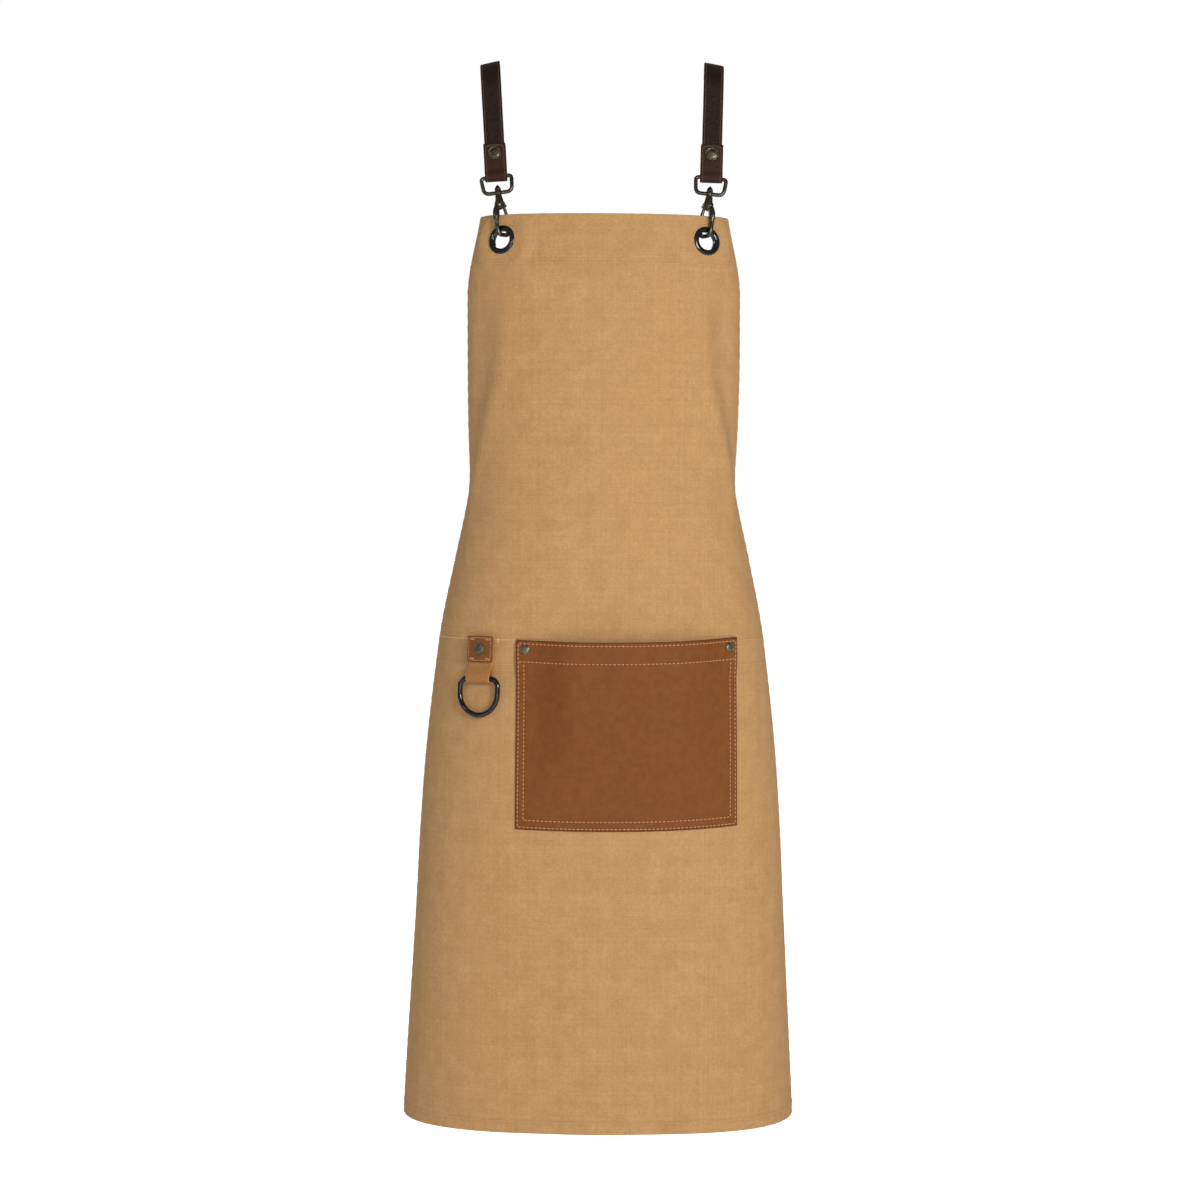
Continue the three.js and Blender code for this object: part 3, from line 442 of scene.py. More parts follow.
# Plain weave: threads that pass over and under, each of its own tone, with slubs along them
def makeWeaveGroup():
    tree, given, put = newGroup(
        "plainWeave",
        [("Vector", "Vector", None), ("Pitch", "Float", 0.0008), ("Slub length", "Float", 0.03)],
        ["Height", "Tone", "Slubs"],
    )
    parts = addNode(tree, "SeparateXYZ", {"Vector": given["Vector"]}).outputs
    across, down = (calc(tree, "DIVIDE", parts[axis], given["Pitch"]) for axis in ("X", "Y"))
    warp, weft = calc(tree, "FLOOR", across), calc(tree, "FLOOR", down)
    over = calc(tree, "FLOORED_MODULO", calc(tree, "ADD", warp, weft), 2.0)
    warpRound, weftRound = (
        calc(tree, "SINE", calc(tree, "MULTIPLY", calc(tree, "FRACT", run), math.pi))
        for run in (across, down)
    )
    warpTop = calc(tree, "MULTIPLY", warpRound, calc(tree, "MULTIPLY_ADD", weftRound, 0.5, 0.5))
    weftTop = calc(tree, "MULTIPLY", weftRound, calc(tree, "MULTIPLY_ADD", warpRound, 0.5, 0.5))
    under = calc(tree, "SUBTRACT", 1.0, over)
    height = calc(tree, "ADD", calc(tree, "MULTIPLY", over, warpTop), calc(tree, "MULTIPLY", under, weftTop))
    warpTone, weftTone = (
        addNode(tree, "TexWhiteNoise", {"W": thread}, noise_dimensions="1D").outputs["Value"]
        for thread in (warp, calc(tree, "ADD", weft, 731.3))
    )
    tone = calc(tree, "ADD", calc(tree, "MULTIPLY", over, warpTone), calc(tree, "MULTIPLY", under, weftTone))
    along = calc(tree, "DIVIDE", 1.0, given["Slub length"])
    thick = calc(tree, "DIVIDE", 0.45, given["Pitch"])
    streaks = []
    for first, second in ((along, thick), (thick, along)):
        size = addNode(tree, "CombineXYZ", {"X": first, "Y": second, "Z": 1.0}).outputs["Vector"]
        streaks.append(noise(tree, stretched(tree, given["Vector"], size), 1.0, 2.0, 0.6))
    slubs = calc(tree, "MULTIPLY", calc(tree, "ADD", streaks[0], streaks[1]), 0.5)
    put("Height", height)
    put("Tone", tone)
    put("Slubs", slubs)
    return tree


# Cloudy unevenness of dye, wax or patina: a broad one, a middle one and fine specks
def makeMottleGroup():
    tree, given, put = newGroup(
        "mottle", [("Vector", "Vector", None), ("Size", "Float", 0.05)], ["Broad", "Middle", "Fine"],
    )
    base = calc(tree, "DIVIDE", 1.0, given["Size"])
    for label, factor, detail in (("Broad", 1.0, 3.0), ("Middle", 4.7, 4.0), ("Fine", 31.0, 3.0)):
        scale = calc(tree, "MULTIPLY", base, factor)
        value = noise(tree, given["Vector"], scale, detail, 0.55)
        put(label, spread(tree, value, 0.28, 0.72))
    return tree


# Leather: pebbles parted by fine creases, with pores
def makeGrainGroup():
    tree, given, put = newGroup(
        "leatherGrain",
        [("Vector", "Vector", None), ("Pebble", "Float", 0.0009)],
        ["Height", "Creases", "Pores"],
    )
    scale = calc(tree, "DIVIDE", 1.0, given["Pebble"])
    wobble = noise(tree, given["Vector"], calc(tree, "MULTIPLY", scale, 0.35), 3.0, 0.6)
    shift = calc(tree, "MULTIPLY", wobble, 0.0011)
    shift = addNode(tree, "CombineXYZ", {key: shift for key in "XYZ"}).outputs["Vector"]
    shifted = addNode(tree, "VectorMath", {0: given["Vector"], 1: shift}, operation="ADD").outputs["Vector"]
    cells = addNode(tree, "TexVoronoi", {"Vector": shifted, "Scale": scale}, feature="DISTANCE_TO_EDGE")
    creases = spread(tree, cells.outputs["Distance"], 0.0, 0.22)
    pores = noise(tree, given["Vector"], calc(tree, "MULTIPLY", scale, 2.4), 2.0, 0.7)
    pores = spread(tree, pores, 0.35, 0.65)
    put("Height", calc(tree, "MULTIPLY_ADD", pores, 0.35, calc(tree, "MULTIPLY", creases, 0.65)))
    put("Creases", creases)
    put("Pores", pores)
    return tree


# Plated metal: a cast surface's fine pits, thin scratches and dull handled patches
def makePlatingGroup():
    tree, given, put = newGroup(
        "platedMetal",
        [("Vector", "Vector", None), ("Size", "Float", 0.004)],
        ["Height", "Patches", "Scratches"],
    )
    base = calc(tree, "DIVIDE", 1.0, given["Size"])
    patches = spread(tree, noise(tree, given["Vector"], base, 4.0, 0.6), 0.35, 0.68)
    pits = noise(tree, given["Vector"], calc(tree, "MULTIPLY", base, 9.0), 2.0, 0.5)
    drawn = stretched(tree, given["Vector"], (1.0, 9.0, 3.0))
    lines = noise(tree, drawn, calc(tree, "MULTIPLY", base, 4.0), 4.0, 0.75)
    scratches = spread(tree, lines, 0.56, 0.66)
    put("Height", calc(tree, "MULTIPLY_ADD", pits, 0.7, calc(tree, "MULTIPLY", scratches, -0.3)))
    put("Patches", patches)
    put("Scratches", scratches)
    return tree


weaveGroup = makeWeaveGroup()
mottleGroup = makeMottleGroup()
grainGroup = makeGrainGroup()
platingGroup = makePlatingGroup()


def newMaterial(name):
    material = bpy.data.materials.new(name)
    material.use_nodes = True
    tree = material.node_tree
    tree.nodes.clear()
    shader = tree.nodes.new("ShaderNodeBsdfPrincipled")
    ending = tree.nodes.new("ShaderNodeOutputMaterial")
    tree.links.new(shader.outputs["BSDF"], ending.inputs["Surface"])
    coords = tree.nodes.new("ShaderNodeTexCoord")
    return material, tree, shader.inputs, coords.outputs


def bumpFrom(tree, height, distance, strength=1.0, normal=None):
    inputs = {"Height": height, "Distance": distance, "Strength": strength}
    if normal is not None:
        inputs["Normal"] = normal
    return addNode(tree, "Bump", inputs).outputs["Normal"]


def colour(red, green, blue):
    linear = [(value / 255 / 12.92 if value < 10.3 else ((value / 255 + 0.055) / 1.055) ** 2.4)
              for value in (red, green, blue)]
    return (*linear, 1.0)


# Waxed canvas, with painted shade along the seams where the stitching pulls it in, and painted shade in the gaps
# between its threads
def canvasMaterial(name, look):
    material, tree, shader, coords = newMaterial(name)
    weave = useGroup(tree, weaveGroup, {
        "Vector": coords["UV"], "Pitch": look["pitch"], "Slub length": look["slub"],
    })
    cloud = useGroup(tree, mottleGroup, {"Vector": coords["Object"], "Size": look["cloud"]})
    tone = blendColour(tree, cloud["Middle"], look["dark"], look["light"])
    tone = blendColour(tree, calc(tree, "MULTIPLY", cloud["Broad"], look["warmth"]), tone, look["warm"])
    threads = spread(tree, weave["Tone"], 0.0, 1.0, *look["threadTones"])
    slubs = spread(tree, weave["Slubs"], 0.35, 0.65, *look["slubTones"])
    specks = spread(tree, cloud["Fine"], 0.0, 1.0, *look["speckTones"])
    # painted shade between the threads: darker in the weave's gaps and a little lighter on the threads' crowns
    gapShading = spread(tree, weave["Height"], 0.0, 0.7, *look["gapTones"])
    # painted shade: the colour is darker along the stitching, where the puckered cloth would be shaded
    seams = calc(tree, "MULTIPLY_ADD", fieldValue(tree, "seam"), -look["seamShade"], 1.0)
    shade = threads
    for part in (slubs, specks, gapShading, seams):
        shade = calc(tree, "MULTIPLY", shade, part)
    connect(tree, shaded(tree, tone, shade), shader["Base Color"])
    connect(tree, spread(tree, cloud["Middle"], 0.0, 1.0, *look["roughness"]), shader["Roughness"])
    relief = bumpFrom(tree, weave["Height"], look["weaveRelief"], 0.7)
    relief = bumpFrom(tree, weave["Slubs"], look["slubRelief"], 0.3, relief)
    connect(tree, bumpFrom(tree, cloud["Fine"], look["waxRelief"], 0.35, relief), shader["Normal"])
    shader["Sheen Weight"].default_value = look["sheen"]
    shader["Sheen Roughness"].default_value = 0.45
    shader["Sheen Tint"].default_value = look["sheenTint"]
    shader["Specular IOR Level"].default_value = look["shine"]
    return material


# Leather with a darker or paler cut edge, and a pressed line that follows the edge
def leatherMaterial(name, look):
    material, tree, shader, coords = newMaterial(name)
    grain = useGroup(tree, grainGroup, {"Vector": coords["Object"], "Pebble": look["pebble"]})
    cloud = useGroup(tree, mottleGroup, {"Vector": coords["Object"], "Size": look["cloud"]})
    tone = blendColour(tree, cloud["Middle"], look["dark"], look["light"])
    tone = blendColour(tree, calc(tree, "MULTIPLY", cloud["Broad"], look["warmth"]), tone, look["warm"])
    worn = calc(tree, "MULTIPLY", spread(tree, cloud["Fine"], 0.45, 1.0), look["wear"])
    tone = blendColour(tree, worn, tone, look["worn"])
    creases = spread(tree, grain["Creases"], 0.0, 1.0, look["creaseTone"], 1.0)
    inside = fieldValue(tree, "inside")
    edge = spread(tree, inside, 0.0, look["edgeWidth"], look["edgeTone"], 1.0)
    tone = shaded(tree, tone, calc(tree, "MULTIPLY", creases, edge))
    line = calc(tree, "SUBTRACT", inside, look["lineInset"])
    line = calc(tree, "MULTIPLY", calc(tree, "MULTIPLY", line, line), -1 / look["lineWidth"] ** 2)
    lineMask = calc(tree, "MULTIPLY", calc(tree, "EXPONENT", line), look["lineAmount"])
    connect(tree, blendColour(tree, lineMask, tone, look["lineColour"]), shader["Base Color"])
    rough = spread(tree, cloud["Fine"], 0.0, 1.0, look["roughness"] - 0.07, look["roughness"] + 0.09)
    connect(tree, rough, shader["Roughness"])
    relief = bumpFrom(tree, grain["Height"], look["relief"], 0.7)
    connect(tree, bumpFrom(tree, cloud["Middle"], 0.0006, 0.35, relief), shader["Normal"])
    shader["Specular IOR Level"].default_value = look["shine"]
    return material


def metalMaterial(name, look):
    material, tree, shader, coords = newMaterial(name)
    plating = useGroup(tree, platingGroup, {"Vector": coords["Object"], "Size": look["size"]})
    tone = blendColour(tree, plating["Patches"], look["dark"], look["light"])
    bare = calc(tree, "MULTIPLY", plating["Scratches"], look["scratched"])
    connect(tree, blendColour(tree, bare, tone, look["bare"]), shader["Base Color"])
    connect(tree, spread(tree, plating["Patches"], 0.0, 1.0, *look["roughness"]), shader["Roughness"])
    connect(tree, bumpFrom(tree, plating["Height"], look["relief"], 0.5), shader["Normal"])
    shader["Metallic"].default_value = 1.0
    return material


def threadMaterial(name, dark, light):
    material, tree, shader, coords = newMaterial(name)
    cloud = useGroup(tree, mottleGroup, {"Vector": coords["Object"], "Size": 0.004})
    connect(tree, blendColour(tree, cloud["Middle"], dark, light), shader["Base Color"])
    connect(tree, spread(tree, cloud["Fine"], 0.0, 1.0, 0.6, 0.8), shader["Roughness"])
    strands = noise(tree, coords["Object"], 2600.0, 1.0, 0.5)
    connect(tree, bumpFrom(tree, strands, 0.00012, 0.8), shader["Normal"])
    shader["Sheen Weight"].default_value = 0.2
    return material


canvasLook = {
    "pitch": 0.00064, "slub": 0.016, "cloud": 0.075,
    "dark": colour(194, 149, 98), "light": colour(207, 162, 110), "warm": colour(203, 153, 98),
    "warmth": 0.35, "threadTones": (0.94, 1.06), "slubTones": (0.98, 1.02), "speckTones": (0.91, 1.08),
    # the gap and seam tones on the next line are painted shade: darker in the weave's gaps and along the stitching
    "gapTones": (0.86, 1.03), "seamShade": 0.07, "roughness": (0.78, 0.9), "shine": 0.18,
    "weaveRelief": 0.00022, "slubRelief": 0.0006, "waxRelief": 0.0005,
    "sheen": 0.05, "sheenTint": colour(255, 226, 190),
}
tapeLook = {**canvasLook, "pitch": 0.0005, "dark": colour(180, 138, 90), "light": colour(195, 152, 103)}
pocketLook = {
    "pebble": 0.0010, "cloud": 0.035, "warmth": 0.35, "wear": 0.22, "creaseTone": 0.86,
    "dark": colour(124, 70, 22), "light": colour(140, 83, 30), "warm": colour(134, 70, 26),
    "worn": colour(155, 98, 45), "edgeWidth": 0.0022, "edgeTone": 0.42, "roughness": 0.58,
    "relief": 0.00022, "shine": 0.22, "lineInset": 0.5, "lineWidth": 0.001, "lineAmount": 0.0,
    "lineColour": colour(140, 86, 50),
}
tabLook = {
    **pocketLook, "dark": colour(172, 116, 62), "light": colour(192, 134, 78), "warm": colour(180, 114, 62),
    "worn": colour(210, 160, 106), "edgeTone": 1.25, "edgeWidth": 0.001, "cloud": 0.012, "roughness": 0.5,
}
patchLook = {
    **tabLook, "dark": colour(150, 94, 46), "light": colour(168, 110, 58), "warm": colour(158, 92, 46),
    "worn": colour(186, 132, 82), "edgeTone": 0.4, "edgeWidth": 0.0013,
}
strapLook = {
    "pebble": 0.0008, "cloud": 0.02, "warmth": 0.4, "wear": 0.25, "creaseTone": 0.8,
    "dark": colour(26, 15, 9), "light": colour(38, 25, 17), "warm": colour(41, 25, 16),
    "worn": colour(56, 39, 29), "edgeWidth": 0.0014, "edgeTone": 0.35, "roughness": 0.42,
    "relief": 0.00012, "shine": 0.16, "lineInset": 0.0021, "lineWidth": 0.00042, "lineAmount": 0.45,
    "lineColour": colour(110, 82, 62),
}
strapEndLook = {
    **strapLook, "dark": colour(41, 22, 14), "light": colour(56, 34, 24), "warm": colour(62, 33, 21),
    "worn": colour(84, 55, 40), "roughness": 0.45,
}
blackLook = {
    "size": 0.006, "dark": colour(56, 56, 57), "light": colour(80, 80, 81), "bare": colour(140, 140, 142),
    "scratched": 0.2, "roughness": (0.07, 0.15), "relief": 0.00002,
}
antiqueLook = {
    "size": 0.003, "dark": colour(104, 96, 80), "light": colour(142, 132, 112), "bare": colour(190, 182, 160),
    "scratched": 0.35, "roughness": (0.26, 0.42), "relief": 0.00007,
}
hookLook = {
    "size": 0.004, "dark": colour(66, 59, 53), "light": colour(98, 90, 81), "bare": colour(168, 160, 150),
    "scratched": 0.3, "roughness": (0.18, 0.32), "relief": 0.00006,
}
studLook = {**antiqueLook, "dark": colour(72, 63, 50), "light": colour(106, 95, 78)}
springLook = {
    "size": 0.003, "dark": colour(150, 152, 156), "light": colour(184, 186, 190),
    "bare": colour(214, 215, 218), "scratched": 0.3, "roughness": (0.2, 0.32), "relief": 0.00003,
}
canvas = canvasMaterial("canvas", canvasLook)
canvasTape = canvasMaterial("canvasTape", tapeLook)
pocketLeather = leatherMaterial("pocketLeather", pocketLook)
tabLeather = leatherMaterial("tabLeather", tabLook)
patchLeather = leatherMaterial("patchLeather", patchLook)
strapLeather = leatherMaterial("strapLeather", strapLook)
strapEndLeather = leatherMaterial("strapEndLeather", strapEndLook)
blackMetal = metalMaterial("blackNickel", blackLook)
antiqueMetal = metalMaterial("antiqueBrass", antiqueLook)
studMetal = metalMaterial("darkBrass", studLook)
hookMetal = metalMaterial("gunmetal", hookLook)
springSteel = metalMaterial("springSteel", springLook)
canvasThread = threadMaterial("canvasThread", colour(186, 142, 94), colour(216, 178, 130))
paleThread = threadMaterial("paleThread", colour(222, 186, 138), colour(246, 218, 176))
leatherThread = threadMaterial("leatherThread", colour(182, 120, 84), colour(216, 158, 120))
strapThread = threadMaterial("strapThread", colour(84, 54, 40), colour(120, 82, 62))
print("materials made")


# The apron's cloth

# Cross-sections from the bib's top edge down: half the width, how far the side edge lies behind the
# front, how far the front lies before the shoulder line, and how square the shoulders are
panelShape = {
    "drop": (0, 0.075, 0.230, 0.406, 0.545, 0.860),
    "halfWidth": (0.118, 0.130, 0.1295, 0.157, 0.1715, 0.1875),
    "wrap": (0.049, 0.062, 0.080, 0.100, 0.107, 0.112),
    "reach": (0.070, 0.079, 0.084, 0.086, 0.089, 0.092),
    "fullness": (2.2, 2.25, 2.3, 2.45, 2.55, 2.6),
    "thickness": 0.0012,
    "gap": 0.0004,
    "turn": 0.001,
    "hem": 0.012,
    "facing": 0.049,
    "tapeDrop": 0.398,
    "tapeWidth": 0.026,
    "tapeThickness": 0.0012,
}
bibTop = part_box("apron_panel")[1].z
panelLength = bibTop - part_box("apron_panel")[0].z


# One value of the cross-section at a drop, on a curve that never overshoots
def sectionAt(field, drop):
    places, values = np.array(panelShape["drop"]), np.array(panelShape[field])
    slopes = np.diff(values) / np.diff(places)
    middle = [0 if a * b <= 0 else 2 * a * b / (a + b) for a, b in zip(slopes, slopes[1:])]
    tangents = [slopes[0], *middle, slopes[-1]]
    i = min(max(int(np.searchsorted(places, drop)) - 1, 0), len(slopes) - 1)
    length = places[i + 1] - places[i]
    t = (drop - places[i]) / length
    return (values[i] * (2 * t ** 3 - 3 * t ** 2 + 1) + tangents[i] * length * (t ** 3 - 2 * t ** 2 + t)
            + values[i + 1] * (3 * t ** 2 - 2 * t ** 3) + tangents[i + 1] * length * (t ** 3 - t ** 2))


# The cross-sections at even drops, each by even shares of the length from the middle to the side edge
def sectionLookup(rows=431, columns=301):
    drops = np.linspace(0, panelLength, rows)
    turn = np.linspace(0, math.pi / 2, 2 * columns)
    shares = np.linspace(0, 1, columns)
    across, depth, edges = [], [], []
    for drop in drops:
        halfWidth, wrap, reach, fullness = (
            sectionAt(field, drop) for field in ("halfWidth", "wrap", "reach", "fullness")
        )
        x = halfWidth * np.sin(turn) ** (2 / fullness)
        y = wrap * (1 - np.maximum(np.cos(turn), 0) ** (2 / fullness)) - reach
        length = np.concatenate([[0], np.cumsum(np.hypot(np.diff(x), np.diff(y)))])
        across.append(np.interp(shares * length[-1], length, x))
        depth.append(np.interp(shares * length[-1], length, y))
        edges.append(length[-1])
    return drops, np.array(across), np.array(depth), np.array(edges)


lookupDrops, lookupAcross, lookupDepth, lookupEdges = sectionLookup()


# Length along the cloth from the middle to the side edge
def sideEdge(drop):
    return np.interp(drop, lookupDrops, lookupEdges)


def curvedFace(place, drop):
    place, drop = np.broadcast_arrays(np.asarray(place, float), np.asarray(drop, float))
    rows, columns = lookupAcross.shape
    row = np.clip(drop / panelLength, 0, 1) * (rows - 1)
    column = np.clip(np.abs(place) / sideEdge(drop), 0, 1) * (columns - 1)
    i, j = np.minimum(row.astype(int), rows - 2), np.minimum(column.astype(int), columns - 2)
    f, g = row - i, column - j
    x, y = ((1 - f) * ((1 - g) * table[i, j] + g * table[i, j + 1])
            + f * ((1 - g) * table[i + 1, j] + g * table[i + 1, j + 1])
            for table in (lookupAcross, lookupDepth))
    return np.stack([np.sign(place) * x, y, bibTop - drop], -1)


eyelet = {"drop": 0.024, "inset": 0.047, "flat": 0.022, "fade": 0.014, "cut": 0.0108}
eyelet["place"] = float(sideEdge(eyelet["drop"])) - eyelet["inset"]
eyeletSpots = [
    (np.array(joints[f"{name}_hook_swing"]["pos_m"]), np.array(joints[f"{name}_hook_swing"]["axis"]))
    for name in sides
]

# Soft folds: the straps pull a crease from each eyelet down and out to the armhole, with a hollow
# behind it, and the hems rope a little along their stitching
drape = {
    "creaseTop": (0.094, 0.055), "creaseKnee": (0.099, 0.150), "creaseEnd": (0.140, 0.262),
    "ridge": 0.0022, "ridgeWidth": 0.011, "hollow": 0.0042, "hollowAway": 0.024, "hollowWidth": 0.017,
    "waves": 0.0011, "ripple": 0.00028,
}


def folds(place, drop):
    side = np.abs(place)
    (topPlace, topDrop), (kneePlace, kneeDrop), (endPlace, endDrop) = (
        drape["creaseTop"], drape["creaseKnee"], drape["creaseEnd"])
    crease = np.interp(drop, [topDrop, kneeDrop, endDrop], [topPlace, kneePlace, endPlace])
    away = side - crease
    window = easeIn((drop - 0.045) / 0.07) * easeIn((0.33 - drop) / 0.09)
    uneven = 1 + 0.18 * np.sign(place)
    ridge = drape["ridge"] * bell(away, drape["ridgeWidth"])
    hollow = drape["hollow"] * bell(away - drape["hollowAway"], drape["hollowWidth"])
    bib = window * uneven * (ridge - hollow)
    plain = easeIn((drop - 0.07) / 0.08)
    fixed = easeIn((np.abs(drop - 0.49) - 0.1) / 0.06)
    waves = drape["waves"] * unevenness(place, 0.45 * drop, 0.12, 2.0) * plain * (0.25 + 0.75 * fixed)
    low = drape["waves"] * 1.6 * unevenness(place, 0.15 * drop, 0.1, 5.0) * easeIn((drop - 0.6) / 0.26)
    fromSide, fromHem = sideEdge(drop) - side, panelLength - drop
    halfHem = panelShape["hem"] / 2
    hemBand = bell(fromHem - halfHem, halfHem)
    sideBand = bell(fromSide - halfHem, halfHem) * easeIn((drop - 0.05) / 0.02)
    ripple = drape["ripple"] * (
        hemBand * np.sin((place + 0.4 * fromHem) * 2 * math.pi / 0.0105 + unevenness(place, 0, 0.05, 1.0))
        + sideBand * np.sin((drop + 0.4 * fromSide) * 2 * math.pi / 0.0115 + unevenness(drop, 0, 0.06, 3.0)))
    return bib + waves + low + ripple


def directions(face, place, drop, step=0.0015):
    across = unit(face(place + step, drop) - face(place - step, drop))
    up = face(place, drop - step) - face(place, drop + step)
    out = unit(np.cross(across, up))
    return across, unit(np.cross(out, across)), out


def flatFace(place, drop):
    point = curvedFace(place, drop)
    for origin, out in eyeletSpots:
        away = point - origin
        hold = 1 - easeIn((np.linalg.norm(away, axis=-1) - eyelet["flat"]) / eyelet["fade"])
        point = point - out * (hold * (away @ out))[..., None]
    return point


def clothFace(place, drop):
    out = directions(flatFace, place, drop)[2]
    return flatFace(place, drop) + out * folds(place, drop)[..., None]


# A point that stands off the cloth's face
def offCloth(place, drop, height):
    place, drop, height = np.broadcast_arrays(*(np.asarray(value, float) for value in (place, drop, height)))
    out = directions(clothFace, place, drop)[2]
    return clothFace(place, drop) + out * height[..., None]


# Frame at a place on the cloth: X across, Y up and Z out
def frameAt(place, drop, height=0.0):
    place, drop = np.array(float(place)), np.array(float(drop))
    across, up, out = directions(flatFace, place, drop)
    return frameOf(Vector(flatFace(place, drop) + out * height), Vector(across), Vector(up), Vector(out))


# How much a sheet's face falls back near its edge, so that the edge is round
def edgeFall(fromEdge, thickness):
    radius = thickness / 2
    inward = np.clip(1 - fromEdge / radius, 0, 1)
    return 0.8 * radius * (1 - np.sqrt(1 - inward ** 2))


# Lines across a piece, close together at both ends
def linesBetween(start, end, spacing, edge=0.0012):
    close = np.array([0, 0.25, 0.55, 1.0]) * edge
    middle = np.linspace(start + 1.6 * edge, end - 1.6 * edge, max(int((end - start) / spacing), 2))
    return np.concatenate([start + close, middle, end - close[::-1]])


# Layer of cloth over the panel. spans gives its two side edges at each drop.
def clothLayer(name, drops, spans, outer, thickness, material, spacing=0.002, holes=()):
    left, right = np.array([spans(value) for value in drops]).T[:, :, None]
    widest = np.max(right - left)
    place = left + (right - left) * (linesBetween(0, widest, spacing) / widest)
    drop = np.repeat(np.asarray(drops)[:, None], place.shape[1], axis=1)
    keep = None
    if holes:
        middlePlace = (place[:-1, :-1] + place[1:, 1:]) / 2
        middleDrop = (drop[:-1, :-1] + drop[1:, 1:]) / 2
        keep = np.ones(middlePlace.shape, bool)
        for holePlace, holeDrop, radius in holes:
            keep &= np.hypot(middlePlace - holePlace, middleDrop - holeDrop) > radius
        touching = np.zeros(place.shape, int)
        for rowShift in (0, 1):
            for columnShift in (0, 1):
                rows = slice(rowShift, rowShift + keep.shape[0])
                columns = slice(columnShift, columnShift + keep.shape[1])
                touching[rows, columns] += keep
        for holePlace, holeDrop, radius in holes:
            away = np.hypot(place - holePlace, drop - holeDrop)
            onRim = (touching > 0) & (touching < 4) & (away < 2 * radius)
            onRim[[0, -1], :] = False
            pull = np.where(onRim, radius / np.maximum(away, 1e-6), 1.0)
            place = holePlace + (place - holePlace) * pull
            drop = holeDrop + (drop - holeDrop) * pull
    fromEdge = np.min([place - left, right - place, drop - drops[0], drops[-1] - drop], axis=0)
    fall = edgeFall(np.maximum(fromEdge, 0), thickness)
    front, back = offCloth(place, drop, outer - fall), offCloth(place, drop, outer - thickness + fall)
    uv = np.stack([place, -drop], -1)
    # the seam value is the painted shade along the stitching
    return closedSheet(name, front, back, material, uv, {"seam": stitchShadeMask(place, drop)}, keep)


stitching = {
    "hemInset": 0.0108, "facingDrop": 0.0466, "edgeDrop": 0.0026, "tapeInset": 0.0014,
    "canvasPitch": 0.0029, "canvasLength": 0.0024, "canvasThread": 0.00034,
    "leatherPitch": 0.0039, "leatherLength": 0.0029, "leatherThread": 0.0005,
    "facingTack": (0.007, 0.0012), "facingTackInset": 0.009, "facingTackLean": 40,
    "waistTack": (0.004, 0.0017), "tackPitch": 0.0007,
}
tapeSeams = [
    panelShape["tapeDrop"] + stitching["tapeInset"],
    panelShape["tapeDrop"] + panelShape["tapeWidth"] - stitching["tapeInset"],
]


# How much painted shade the canvas gets at a place, along the stitching that pulls the cloth in
def stitchShadeMask(place, drop):
    inset, width = stitching["hemInset"], 0.0016
    lines = [drop - stitching["facingDrop"], *(drop - seam for seam in tapeSeams),
             panelLength - drop - inset, sideEdge(drop) - np.abs(place) - inset]
    return np.clip(sum(bell(line, width) for line in lines), 0, 1)


def addCloth():
    shape, inset = panelShape, 0.0005
    behind = -shape["thickness"] - shape["gap"]
    holes = [(side * eyelet["place"], eyelet["drop"], eyelet["cut"]) for side in sides.values()]

    # Both edges of a layer that stays this far inside the panel's side edges
    def across(fromEdge):
        return lambda drop: (fromEdge - float(sideEdge(drop)), float(sideEdge(drop)) - fromEdge)

    cloth = clothLayer("apronCloth", linesBetween(0, panelLength, 0.002), across(0), 0.0, shape["thickness"],
                       canvas, holes=holes)
    facingDrops = linesBetween(inset, shape["facing"], 0.002)
    lining = clothLayer("bibFacing", facingDrops, across(inset), behind, shape["turn"], canvas, holes=holes)
    attach(cloth, "apron", "apron_panel")
    attach(lining, "apron", "bib_facing")

    sideDrops = linesBetween(shape["facing"] + shape["gap"], panelLength - inset, 0.0025)
    for name, side in sides.items():
        def hemSpan(drop):
            edge = float(sideEdge(drop))
            return sorted((side * (edge - shape["hem"]), side * (edge - inset)))
        hem = clothLayer(f"{name}SideHem", sideDrops, hemSpan, behind, shape["turn"], canvas)
        attach(hem, "apron", f"side_hem_{name}")
    low = linesBetween(panelLength - shape["hem"], panelLength - inset, 0.002)
    between = across(shape["hem"] + inset)
    bottom = clothLayer("bottomHem", low, between, behind, shape["turn"], canvas)
    attach(bottom, "apron", "bottom_hem")

    tapeDrops = linesBetween(shape["tapeDrop"], shape["tapeDrop"] + shape["tapeWidth"], 0.002)
    tape = clothLayer("waistTape", tapeDrops, between, behind, shape["tapeThickness"], canvasTape)
    attach(tape, "apron", "waist_tape")


# Stitches

# The stitches along a line on the cloth, as arrays of starts, ends and outward directions
def stitchesAlong(line, pitch, length, height):
    places, drops = np.asarray(line, float).T
    fine = np.linspace(0, 1, max(int(40 * len(places)), 400))
    knots = np.linspace(0, 1, len(places))
    places, drops = np.interp(fine, knots, places), np.interp(fine, knots, drops)
    heights = height(places, drops) if callable(height) else np.full(len(places), height)
    points = offCloth(places, drops, heights)
    travel = travelAlong(points)
    count = int(travel[-1] / pitch)
    centres = (np.arange(count) + 0.5) * travel[-1] / max(count, 1)
    out = directions(clothFace, np.interp(centres, travel, places), np.interp(centres, travel, drops))[2]
    ends = []
    for shift in (-length / 2, length / 2):
        ends.append(np.stack([np.interp(centres + shift, travel, points[:, k]) for k in range(3)], -1))
    return *ends, out


